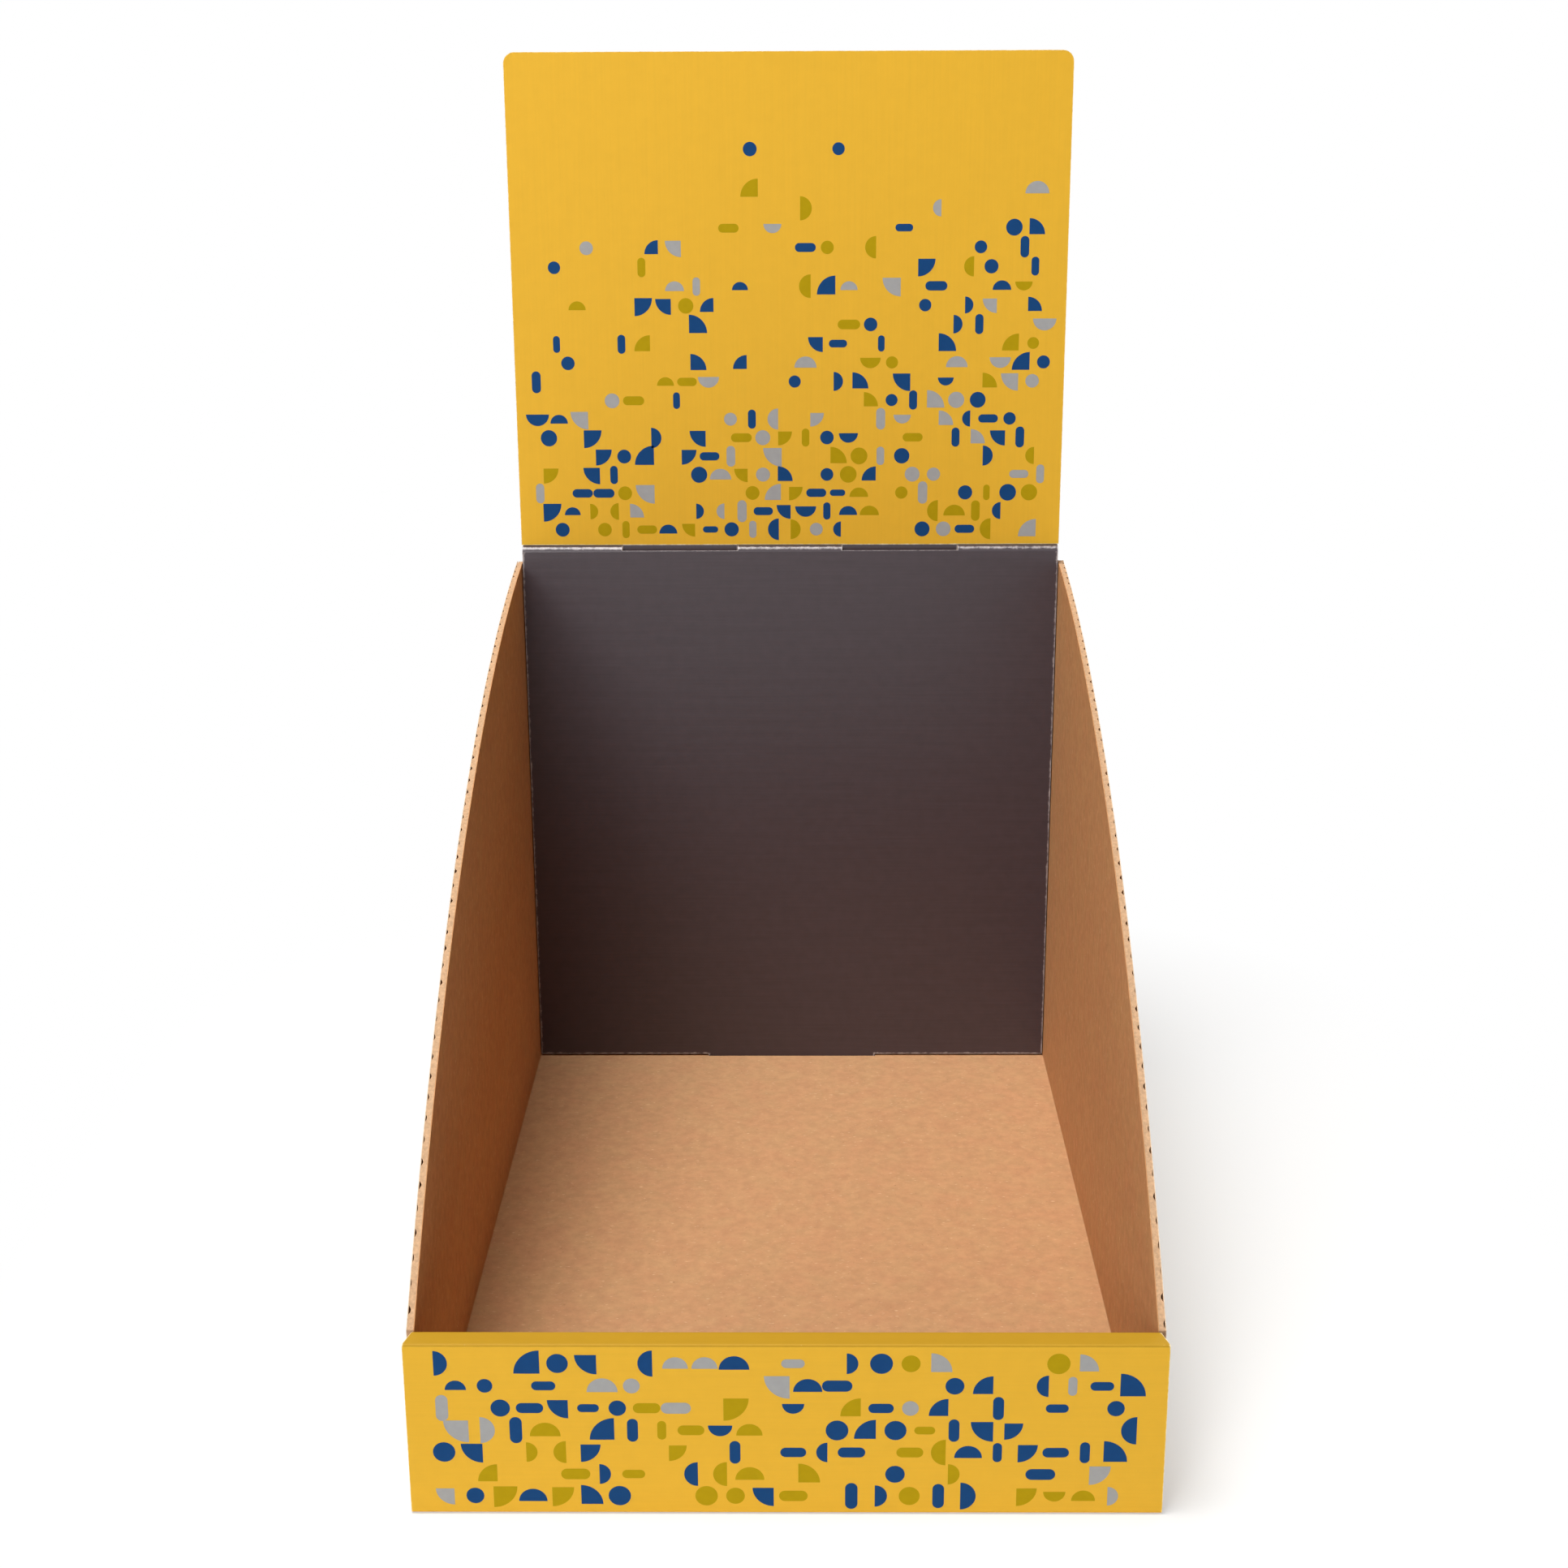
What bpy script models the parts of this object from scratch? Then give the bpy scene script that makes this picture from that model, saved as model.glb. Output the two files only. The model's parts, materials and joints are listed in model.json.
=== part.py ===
"""Counter display of corrugated board: a tray folded from one die-cut sheet, and a header card.

Each panel is drawn flat, as it lies in the sheet, and folded up about its crease. In a panel's own frame x
runs along the crease, y away from it and z from the printed face to the kraft face. The crease lies on the
printed face, because that liner runs on round the fold. The origin is at the middle of the tray's underside.
"""
import bmesh
import bpy
from math import asin, atan2, cos, hypot, inf, pi, radians, sin, sqrt
from mathutils import Matrix

# Tray, outside sizes in metres
WIDTH = 0.260
DEPTH = 0.389
FRONT_HEIGHT = 0.0665
BACK_HEIGHT = 0.2645
SIDE_ARC_RADIUS = 0.635
SIDE_BACK_DROP = 0.0047
RIDGE_MITRE = 0.0014

# Board and its plies
BOARD = 0.0028
LINER = 0.0003
FLUTING_SHEET = 0.0003
GLUE_LINE = 0.0001
FLUTE_PITCH = 0.0065
CLEARANCE = 0.0003
INNER_WALL_PLAY = 0.0005
FOLD = radians(90)

# Tuck flaps inside the double walls
FRONT_FLAP_LENGTH = 0.032
FRONT_FLAP_DROP = 0.0245
FRONT_FLAP_RELIEF = 0.0006
BACK_FLAP_LENGTH = 0.042
BACK_FLAP_TOP = 0.200
BACK_FLAP_BOTTOM = 0.005
BACK_FLAP_TAPER = 0.010

# Lock tab of the back's inner wall
LOCK_TAB_WIDTH = 0.084
INNER_WALL_STANDOFF = 0.0010

# Header card
HEADER_INSET = 0.00275
HEADER_HEIGHT = 0.2225
HEADER_CORNER = 0.005
HEADER_TAB_WIDTH = 0.054
HEADER_TAB_LENGTH = 0.025
HEADER_TAB_OFFSET = 0.052
HEADER_TAB_CHAMFER = 0.004
HEADER_SLOT_SLACK = 0.0016

# Worked out from the sizes above
RUN_INSET = LINER + CLEARANCE
SCORE_INSET = BOARD + CLEARANCE
RIDGE_DEPTH = 3 * BOARD + 2 * CLEARANCE
SIDE_NOTCH = RIDGE_DEPTH + CLEARANCE
SIDE_BACK_HEIGHT = BACK_HEIGHT - BOARD - SIDE_BACK_DROP
SIDE_CREASE = DEPTH / 2 - SCORE_INSET
INNER_HALF = WIDTH / 2 - BOARD - INNER_WALL_PLAY
HEADER_WIDTH = WIDTH - 2 * HEADER_INSET
RIDGE_UNDERSIDE = FRONT_HEIGHT - SCORE_INSET
TROUGH = LINER + GLUE_LINE + FLUTING_SHEET / 2
CREST = BOARD - TROUGH
FLUTE_STEP = FLUTE_PITCH / 4

ARC_STEPS = 32
CORNER_STEPS = 6


def empty_scene():
    """Remove what the scene holds, and make the display's collection."""
    for item in list(bpy.data.objects):
        bpy.data.objects.remove(item, do_unlink=True)
    collection = bpy.data.collections.new("counter_display")
    bpy.context.scene.collection.children.link(collection)
    return collection


def srgb(code):
    """Linear colour of a six-digit sRGB code."""
    values = [int(code[i:i + 2], 16) / 255 for i in (0, 2, 4)]
    return [v / 12.92 if v <= 0.04045 else ((v + 0.055) / 1.055) ** 2.4 for v in values] + [1.0]


def paper(name, code, roughness):
    """A paper surface of one colour."""
    material = bpy.data.materials.new(name)
    material.use_nodes = True
    shader = material.node_tree.nodes["Principled BSDF"]
    shader.inputs["Base Color"].default_value = srgb(code)
    shader.inputs["Roughness"].default_value = roughness
    shader.inputs["Metallic"].default_value = 0.0
    return material


PARTS = empty_scene()
YELLOW_PRINT = paper("yellow printed liner", "e5b238", 0.55)
DARK_PRINT = paper("dark printed liner", "4a3632", 0.60)
KRAFT = paper("kraft liner", "d0a074", 0.85)
MEDIUM = paper("fluting medium", "b98a5f", 0.90)


def crease(name, parent, place, turn=0.0, fold=0.0):
    """A frame on a crease: turned in its parent's plane, then folded up about its own x."""
    frame = bpy.data.objects.new(name, None)
    PARTS.objects.link(frame)
    frame.parent = parent
    frame.matrix_local = (
        Matrix.Translation(place) @ Matrix.Rotation(turn, 4, "Z") @ Matrix.Rotation(fold, 4, "X")
    )
    return frame


def add_piece(name, data, frame, material, lift=0.0):
    """An object in a panel's frame, lifted off the printed face."""
    data.materials.append(material)
    piece = bpy.data.objects.new(name, data)
    PARTS.objects.link(piece)
    piece.parent = frame
    piece.location = (0.0, 0.0, lift)
    return piece


def flat_piece(name, frame, outline, base, thickness, material, holes=()):
    """A flat piece of the given outline, with its lower face at z = base."""
    curve = bpy.data.curves.new(name, "CURVE")
    curve.dimensions = "2D"
    curve.fill_mode = "BOTH"
    curve.extrude = thickness / 2
    for loop in (outline, *holes):
        spline = curve.splines.new("POLY")
        spline.points.add(len(loop) - 1)
        for point, (x, y) in zip(spline.points, loop):
            point.co = (x, y, 0.0, 1.0)
        spline.use_cyclic_u = True
    return add_piece(name, curve, frame, material, base + thickness / 2)


def fluting(name, frame, first, last, low, high, along):
    """The fluted middle ply, with flutes along x or y.

    Its waves run from first to last across the flutes. At each place there, low and high say where the flute
    starts and ends.
    """
    count = max(2, round((last - first) / FLUTE_STEP))
    places = [first + (last - first) * k / count for k in range(count + 1)]

    def spot(across, lengthwise, height):
        return (lengthwise, across, height) if along == "x" else (across, lengthwise, height)

    sheet = bmesh.new()
    heights = [CREST if k % 4 in (1, 2) else TROUGH for k in range(count + 1)]
    line = [sheet.verts.new(spot(u, low(u), h)) for u, h in zip(places, heights)]
    edges = [sheet.edges.new(pair) for pair in zip(line, line[1:])]
    grown = bmesh.ops.extrude_edge_only(sheet, edges=edges)["geom"]
    across = 1 if along == "x" else 0
    for vert in (item for item in grown if isinstance(item, bmesh.types.BMVert)):
        vert.co = spot(vert.co[across], high(vert.co[across]), vert.co.z)
    bmesh.ops.recalc_face_normals(sheet, faces=sheet.faces)
    mesh = bpy.data.meshes.new(name)
    sheet.to_mesh(mesh)
    sheet.free()
    piece = add_piece(name, mesh, frame, MEDIUM)
    solid = piece.modifiers.new("thickness", "SOLIDIFY")
    solid.thickness = FLUTING_SHEET
    solid.offset = 0.0
    solid.use_even_offset = True
    return piece


def liners(name, frame, print_outline, kraft_outline, print_material, holes=()):
    """The two outer plies of a panel."""
    flat_piece(name + "_print", frame, print_outline, 0.0, LINER, print_material, holes)
    flat_piece(name + "_kraft", frame, kraft_outline, BOARD - LINER, LINER, KRAFT, holes)


def rectangle(x_low, x_high, y_low, y_high):
    """A rectangular outline."""
    return [(x_low, y_low), (x_high, y_low), (x_high, y_high), (x_low, y_high)]


def round_corner(centre, radius, start, end, steps):
    """Points of an arc from one angle to another."""
    angles = [start + (end - start) * k / steps for k in range(steps + 1)]
    return [(centre[0] + radius * cos(a), centre[1] + radius * sin(a)) for a in angles]


def floor():
    """The floor, with a slot for the lock tab near its back edge."""
    frame = crease("floor_frame", None, (0, 0, 0))
    slot_half = LOCK_TAB_WIDTH / 2 + CLEARANCE
    slot_front = DEPTH / 2 - RIDGE_DEPTH - CLEARANCE
    slot = rectangle(-slot_half, slot_half, slot_front, slot_front + BOARD + 2 * CLEARANCE)
    out_x, out_y = WIDTH / 2 - RUN_INSET, DEPTH / 2 - RUN_INSET
    in_x, in_y = WIDTH / 2 - SCORE_INSET, DEPTH / 2 - SCORE_INSET
    liners(
        "floor", frame, rectangle(-out_x, out_x, -out_y, out_y), rectangle(-in_x, in_x, -in_y, in_y),
        YELLOW_PRINT, [slot],
    )
    fluting("floor_fluting", frame, -in_y, slot_front - CLEARANCE, lambda y: -in_x, lambda y: in_x, "x")
    return frame


def outer_wall(name, frame, height, neck=inf):
    """The outer board of the front or the back, under its ridge; above its neck as narrow as the inner."""
    def half(y):
        return INNER_HALF + min(WIDTH / 2 - INNER_HALF, max(0.0, neck - y))

    def outline(low, high):
        heights = [low, high]
        if neck < high:
            heights[1:1] = [neck - WIDTH / 2 + INNER_HALF, neck]
        return [(-half(y), y) for y in reversed(heights)] + [(half(y), y) for y in heights]

    top = height - SCORE_INSET
    liners(name, frame, outline(0, height), outline(RUN_INSET, top), YELLOW_PRINT)
    fluting(name + "_fluting", frame, RUN_INSET, top, lambda y: -half(y), half, "x")


def ridge(name, frame, wide, mitre, slots=()):
    """The strip over a double wall; a mitre narrows it inside, where it passes between the sides."""
    def half(y):
        return wide - mitre * y / RIDGE_DEPTH

    near, far = RUN_INSET, RIDGE_DEPTH - RUN_INSET
    outline = [(-half(near), near), (half(near), near), (half(far), far), (-half(far), far)]
    flat_piece(name, frame, outline, 0.0, BOARD, YELLOW_PRINT, slots)


def front():
    """The front: outer wall, ridge and inner wall, folded one from the other."""
    wall = crease("front_wall_crease", FLOOR, (0, -DEPTH / 2, 0), pi, FOLD)
    outer_wall("front_wall", wall, FRONT_HEIGHT)
    top = crease("front_ridge_crease", wall, (0, FRONT_HEIGHT, 0), 0.0, FOLD)
    ridge("front_ridge", top, WIDTH / 2, RIDGE_MITRE)
    inner = crease("front_inner_crease", top, (0, RIDGE_DEPTH, 0), 0.0, FOLD)
    bottom = FRONT_HEIGHT - SCORE_INSET
    liners(
        "front_inner", inner, rectangle(-INNER_HALF, INNER_HALF, 0, bottom),
        rectangle(-INNER_HALF, INNER_HALF, SCORE_INSET, bottom), YELLOW_PRINT,
    )
    fluting(
        "front_inner_fluting", inner, SCORE_INSET, bottom, lambda y: -INNER_HALF, lambda y: INNER_HALF, "x",
    )


def tabbed(top, shoulder, bottom):
    """The inner back wall's outline, with its lock tab below the shoulders."""
    half = LOCK_TAB_WIDTH / 2
    return [
        (-INNER_HALF, top), (INNER_HALF, top), (INNER_HALF, shoulder), (half, shoulder), (half, bottom),
        (-half, bottom), (-half, shoulder), (-INNER_HALF, shoulder),
    ]


def back():
    """The back: outer wall, slotted ridge and inner wall with its lock tab."""
    wall = crease("back_wall_crease", FLOOR, (0, DEPTH / 2, 0), 0.0, FOLD)
    outer_wall("back_wall", wall, BACK_HEIGHT, SIDE_BACK_HEIGHT)
    top = crease("back_ridge_crease", wall, (0, BACK_HEIGHT, 0), 0.0, FOLD)
    reach = HEADER_TAB_WIDTH / 2 + CLEARANCE
    slot_near, slot_far = BOARD, 2 * BOARD + 2 * CLEARANCE + HEADER_SLOT_SLACK
    ridge("back_ridge", top, INNER_HALF, 0.0, [
        rectangle(side * HEADER_TAB_OFFSET - reach, side * HEADER_TAB_OFFSET + reach, slot_near, slot_far)
        for side in (-1, 1)
    ])
    inner = crease("back_inner_crease", top, (0, RIDGE_DEPTH, 0), 0.0, FOLD)
    shoulder = BACK_HEIGHT - BOARD - INNER_WALL_STANDOFF
    bottom = BACK_HEIGHT - CLEARANCE
    face = tabbed(0, shoulder, bottom)
    liners("back_inner", inner, face, tabbed(SCORE_INSET, shoulder, bottom), DARK_PRINT)

    def half(y):
        return INNER_HALF if y < shoulder - FLUTE_STEP else LOCK_TAB_WIDTH / 2

    fluting("back_inner_fluting", inner, SCORE_INSET, bottom, lambda y: -half(y), half, "x")


def arc_centre():
    """Centre of the arc on top of the sides, which starts behind the front ridge: (from front, height)."""
    run, rise = DEPTH - SIDE_NOTCH, SIDE_BACK_HEIGHT - FRONT_HEIGHT
    steepest = atan2(rise, run) + asin(hypot(run, rise) / (2 * SIDE_ARC_RADIUS))
    return SIDE_NOTCH + SIDE_ARC_RADIUS * sin(steepest), FRONT_HEIGHT - SIDE_ARC_RADIUS * cos(steepest)


def side_top(distance):
    """Height of a side wall's curved edge at a distance from the front."""
    middle, base = arc_centre()
    return base + sqrt(SIDE_ARC_RADIUS ** 2 - (distance - middle) ** 2)


def side_outline(forward, bottom):
    """A side wall, with its top edge swept up to the back and a notch under the front ridge."""
    end = SIDE_CREASE - RUN_INSET
    notch = DEPTH / 2 - SIDE_NOTCH
    swept = [-end + (notch + end) * k / ARC_STEPS for k in range(ARC_STEPS + 1)]
    points = [(end, bottom), (-end, bottom)]
    points += [(x, side_top(DEPTH / 2 - x)) for x in swept]
    points += [(notch, RIDGE_UNDERSIDE), (end, RIDGE_UNDERSIDE)]
    return [(forward * x, y) for x, y in points]


def flap(name, frame, length, low, high, up, bends=()):
    """A tuck flap on a side wall.

    At a distance from the crease, low and high give the heights of its edges. Its lower edge turns at the
    bends, and up says which way along the crease is upwards.
    """
    def outline(start):
        lower = [start, *(d for d in bends if d > start), length]
        points = [(high(start), start), (high(length), length)]
        points += [(low(d), d) for d in reversed(lower)]
        return [(up * height, d) for height, d in points]

    liners(name, frame, outline(0.0), outline(SCORE_INSET), YELLOW_PRINT)
    fluting(
        name + "_fluting", frame, SCORE_INSET, length, lambda d: up * low(d), lambda d: up * high(d), "x",
    )


def front_flap(name, wall, forward):
    """A front flap, mitred below so that it can swing out with the front wall."""
    frame = crease(name + "_crease", wall, (forward * SIDE_CREASE, 0, 0), -forward * pi / 2, FOLD)

    def low(distance):
        return max(SCORE_INSET, distance) + FRONT_FLAP_RELIEF

    def high(distance):
        return FRONT_HEIGHT - FRONT_FLAP_DROP

    flap(name, frame, FRONT_FLAP_LENGTH, low, high, -forward, [SCORE_INSET])


def back_flap(name, wall, forward):
    """A back flap, drawn in towards its free end."""
    frame = crease(name + "_crease", wall, (-forward * SIDE_CREASE, 0, 0), forward * pi / 2, FOLD)

    def drawn_in(distance):
        return BACK_FLAP_TAPER * distance / BACK_FLAP_LENGTH

    def low(distance):
        return BACK_FLAP_BOTTOM + drawn_in(distance)

    def high(distance):
        return BACK_FLAP_TOP - drawn_in(distance)

    flap(name, frame, BACK_FLAP_LENGTH, low, high, forward)


def side(name, hand):
    """A side wall with its two flaps; hand is -1 for the left, 1 for the right, and the way to the front."""
    wall = crease(name + "_side_crease", FLOOR, (hand * WIDTH / 2, 0, 0), -hand * pi / 2, FOLD)
    liners(name + "_side", wall, side_outline(hand, 0), side_outline(hand, RUN_INSET), YELLOW_PRINT)
    end = SIDE_CREASE - RUN_INSET
    notch = DEPTH / 2 - SIDE_NOTCH - FLUTE_STEP

    def top(x):
        return side_top(DEPTH / 2 - hand * x) if hand * x < notch else RIDGE_UNDERSIDE

    fluting(name + "_side_fluting", wall, -end, end, lambda x: RUN_INSET, top, "y")
    front_flap(name + "_front_flap", wall, hand)
    back_flap(name + "_back_flap", wall, hand)


def header_outline():
    """The header card: rounded top corners, and two tabs below its shoulders."""
    half = HEADER_WIDTH / 2
    inset = half - HEADER_CORNER
    level = HEADER_HEIGHT - HEADER_CORNER
    points = round_corner((inset, level), HEADER_CORNER, 0, pi / 2, CORNER_STEPS)
    points += round_corner((-inset, level), HEADER_CORNER, pi / 2, pi, CORNER_STEPS)
    points.append((-half, 0))
    for middle in (-HEADER_TAB_OFFSET, HEADER_TAB_OFFSET):
        near, far = middle - HEADER_TAB_WIDTH / 2, middle + HEADER_TAB_WIDTH / 2
        points += [
            (near, 0), (near, HEADER_TAB_CHAMFER - HEADER_TAB_LENGTH),
            (near + HEADER_TAB_CHAMFER, -HEADER_TAB_LENGTH), (far - HEADER_TAB_CHAMFER, -HEADER_TAB_LENGTH),
            (far, HEADER_TAB_CHAMFER - HEADER_TAB_LENGTH), (far, 0),
        ]
    points.append((half, 0))
    return points


def header():
    """The header card, standing in the back ridge's slots."""
    place = (0, DEPTH / 2 - SCORE_INSET - BOARD, BACK_HEIGHT + CLEARANCE)
    frame = crease("header_frame", None, place, pi, FOLD)
    liners("header", frame, header_outline(), header_outline(), YELLOW_PRINT)
    half = HEADER_WIDTH / 2 - CLEARANCE

    def low(x):
        from_tab = abs(abs(x) - HEADER_TAB_OFFSET)
        inside = HEADER_TAB_WIDTH / 2 - HEADER_TAB_CHAMFER
        return -HEADER_TAB_LENGTH if from_tab < inside else 0.0

    def high(x):
        over = max(0.0, abs(x) - (HEADER_WIDTH / 2 - HEADER_CORNER))
        return HEADER_HEIGHT - HEADER_CORNER + sqrt(HEADER_CORNER ** 2 - over ** 2)

    fluting("header_fluting", frame, -half, half, low, high, "y")


FLOOR = floor()
front()
back()
side("left", -1)
side("right", 1)
header()
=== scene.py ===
"""Looks of a counter display folded from corrugated board.

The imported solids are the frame. This script dresses them: rounded folds, fluted plies, printed and bare
paper, printed motifs, and a plain stage. A panel is drawn in its own plane, where x runs along its crease,
y away from it and z from the printed face to the kraft face, and is then put in its place. Sizes are in
metres.
"""
import json
from functools import cache
from math import cos, pi, radians, sin, sqrt

import bmesh
import bpy
from mathutils import Matrix, Vector


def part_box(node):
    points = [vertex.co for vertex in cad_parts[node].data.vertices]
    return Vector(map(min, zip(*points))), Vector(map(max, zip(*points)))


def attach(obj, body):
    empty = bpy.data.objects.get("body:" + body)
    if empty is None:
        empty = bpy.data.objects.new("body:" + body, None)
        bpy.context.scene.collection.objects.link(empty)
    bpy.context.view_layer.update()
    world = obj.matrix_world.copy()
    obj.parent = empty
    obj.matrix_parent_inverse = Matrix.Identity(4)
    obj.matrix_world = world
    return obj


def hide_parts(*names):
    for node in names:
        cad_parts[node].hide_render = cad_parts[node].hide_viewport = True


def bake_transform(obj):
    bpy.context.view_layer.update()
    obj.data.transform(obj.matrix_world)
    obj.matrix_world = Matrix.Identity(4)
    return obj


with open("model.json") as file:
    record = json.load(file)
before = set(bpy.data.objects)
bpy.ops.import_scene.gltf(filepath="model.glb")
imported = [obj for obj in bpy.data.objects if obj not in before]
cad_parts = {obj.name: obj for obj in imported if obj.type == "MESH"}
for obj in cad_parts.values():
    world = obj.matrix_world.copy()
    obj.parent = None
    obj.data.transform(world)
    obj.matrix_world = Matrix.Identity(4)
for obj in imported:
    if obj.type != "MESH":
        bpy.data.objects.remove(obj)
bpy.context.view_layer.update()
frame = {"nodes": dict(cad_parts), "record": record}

bl_info = {
    "name": "Counter display",
    "version": (1, 0, 0),
    "blender": (4, 5, 0),
    "location": "3D View > Sidebar > Display",
    "description": "Dresses the solids of a corrugated counter display",
    "category": "Object",
}

MM = 0.001
SAME_PLACE = 0.02 * MM
WELD = 0.001 * MM
PLAY = 0.3 * MM
SHARP_ANGLE = radians(35)

# A face looks along an axis when its normal's share of that axis is above this
FACING = 0.9


def corners(node):
    """Vertices of a solid, as vectors."""
    return [v.co.copy() for v in frame["nodes"][node].data.vertices]


# Sizes of the board and the tray, read from the frame
WALL_LOW, WALL_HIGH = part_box("front_wall_print")
WIDTH = WALL_HIGH.x - WALL_LOW.x
FRONT = WALL_LOW.y
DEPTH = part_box("back_wall_print")[1].y - FRONT
FRONT_HEIGHT = WALL_HIGH.z
BACK_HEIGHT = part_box("back_wall_print")[1].z
LINER = WALL_HIGH.y - WALL_LOW.y
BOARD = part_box("front_wall_kraft")[1].y - FRONT
RIDGE_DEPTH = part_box("front_inner_print")[1].y - FRONT
INNER_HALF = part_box("back_inner_print")[1].x
SIDE_CREASE = -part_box("left_front_flap_print")[0].y
SIDE_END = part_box("left_side_print")[1].y

# Sizes of the header card, read from the frame
HEADER_LOW, HEADER_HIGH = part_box("header_print")
HEADER_FACE = HEADER_LOW.y
HEADER_FOOT = min(c.z for c in corners("header_print") if c.x > HEADER_HIGH.x - SAME_PLACE)
TAB_EDGES = sorted(c.x for c in corners("header_print") if 0 < c.x and c.z < HEADER_FOOT - MM)
SLOT_NEAR = TAB_EDGES[0] - PLAY
SLOT_FAR = TAB_EDGES[-1] + PLAY

# Paper lies a little inside the solids' own faces, so that ink on it stays inside them too
PRINT_FACE = 0.04 * MM
INK_FACE = 0.01 * MM

# The front lip narrows at each end by this share of the way in to the inner wall's end
MITRE_SHARE = 0.7
LIP_MITRE = MITRE_SHARE * (WIDTH / 2 - INNER_HALF)

# Cut edges: how deep the flutes' ends lie, and the height of the wave above which a pit stays open
EDGE_SUNK = 0.12 * MM
PITS_ABOVE = 0.5

# Upright flutes end this share of the crushed depth below their board's top
FLUTES_SHORT = 0.25

# Points on one wave of the fluting, and steps round a quarter turn of paper
FLUTE_SAMPLES = 12
ROLL_STEPS = 6
ROLL_SHARES = [k / ROLL_STEPS for k in range(ROLL_STEPS + 1)]
ROLL_TURNS = [pi / 2 * share for share in ROLL_SHARES]

BOARDS = (
    "floor", "front_wall", "front_inner", "back_wall", "back_inner", "left_side", "right_side",
    "left_front_flap", "right_front_flap", "left_back_flap", "right_back_flap", "header",
)
FLUTES_UPRIGHT = ("left_side", "right_side", "header")
BODY_OF = {node: body for body, nodes in frame["record"]["behaviour"]["bodies"].items() for node in nodes}


def folded(parent, place, turn=0.0):
    """Frame of a panel that is folded up square from its parent's plane."""
    turned = parent @ Matrix.Translation(place) @ Matrix.Rotation(turn, 4, "Z")
    return turned @ Matrix.Rotation(pi / 2, 4, "X")


def panel_frames():
    """Where each panel's own plane lies."""
    floor = Matrix.Identity(4)
    places = {"floor": floor}
    for end, edge, turn, height in (
        ("front", -DEPTH / 2, pi, FRONT_HEIGHT),
        ("back", DEPTH / 2, 0.0, BACK_HEIGHT),
    ):
        wall = folded(floor, (0, edge, 0), turn)
        ridge = folded(wall, (0, height, 0))
        places[end + "_wall"] = wall
        places[end + "_ridge"] = ridge
        places[end + "_inner"] = folded(ridge, (0, RIDGE_DEPTH, 0))
    for name, hand in (("left", -1), ("right", 1)):
        wall = folded(floor, (hand * WIDTH / 2, 0, 0), -hand * pi / 2)
        places[name + "_side"] = wall
        places[name + "_front_flap"] = folded(wall, (hand * SIDE_CREASE, 0, 0), -hand * pi / 2)
        places[name + "_back_flap"] = folded(wall, (-hand * SIDE_CREASE, 0, 0), hand * pi / 2)
    places["header"] = folded(floor, (0, HEADER_FACE, HEADER_FOOT), pi)
    return places


PLACES = panel_frames()


def linear(code):
    """Linear colour of an sRGB hex code."""
    values = [int(code[i:i + 2], 16) / 255 for i in (1, 3, 5)]
    return tuple(v / 12.92 if v <= 0.04045 else ((v + 0.055) / 1.055) ** 2.4 for v in values) + (1.0,)


def setting(**kind):
    """A way to make settings of one kind, each from its name, description and default."""
    def make(name, description, default):
        return bpy.props.FloatProperty(name=name, description=description, default=default, **kind)
    return make


a_length = setting(min=0.0, unit="LENGTH", precision=5)
a_share = setting(min=0.0, max=1.0, subtype="FACTOR")
a_power = setting(min=0.0, subtype="POWER")
a_strength = setting(min=0.0)
a_lens = setting(min=1.0, unit="CAMERA")
an_angle = setting(subtype="ANGLE")


def a_colour(name, description, code):
    """A colour that a user may change, given as an sRGB hex code."""
    return bpy.props.FloatVectorProperty(
        name=name, description=description, default=linear(code), size=4, min=0.0, max=1.0, subtype="COLOR",
    )


class BoardSettings(bpy.types.PropertyGroup):
    """Sizes of the board's plies and folds, and how far they are worn."""

    flute_pitch: a_length("Flute pitch", "Length of one wave of the fluting", 6.5 * MM)
    flute_sheet: a_length("Flute paper", "Thickness of the fluted paper", 0.3 * MM)
    flute_spread: a_share("Flute spread", "How unevenly high the flutes stand", 0.16)
    floor_fold: a_length("Floor folds", "Radius of the print round the floor's edges", 1.4 * MM)
    lip_fold: a_length("Front lip", "Radius of the print along the front's top edge", 0.9 * MM)
    lip_inner_fold: a_length("Front lip inside", "Radius along the lip's inner edge", 1.3 * MM)
    back_fold: a_length("Back ridge", "Radius along the back ridge's outer edge", 1.4 * MM)
    back_roll: a_length("Back roll", "Radius where the dark wall rolls over the back", 2.6 * MM)
    flap_fold: a_length("Flap folds", "Radius where the flaps leave the sides", SIDE_CREASE - SIDE_END)
    crease: a_length("Inside creases", "Radius of the bare paper beside the floor", 0.45 * MM)
    crush_depth: a_length("Crushed depth", "How far in a cut edge's flutes are crushed", 2.5 * MM)
    pit_depth: a_length("Flute pits", "How wide the pits in a crushed edge are", 0.85 * MM)
    pit_spread: a_share("Pit spread", "How unevenly wide the pits are", 0.7)
    rim: a_length("Worn rim", "Width of the rubbed rim along a cut edge", 0.7 * MM)
    fold_wear: a_share("Fold wear", "How far the print on the folds is rubbed", 0.5)
    ridge_wear: a_share("Ridge wear", "How far the back ridge's outer edge is rubbed", 0.4)
    # The back roll's pale band is partly rubbed print and partly a painted highlight on the roll's middle
    roll_wear: a_share("Roll wear", "How far the back roll is rubbed", 0.82)
    chipped_rim: a_length("Chipped rim", "How far in the dark wall's edges are chipped", 2.4 * MM)
    chipping: a_share("Chipping", "How much of the dark wall's edges is chipped", 0.92)


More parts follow.
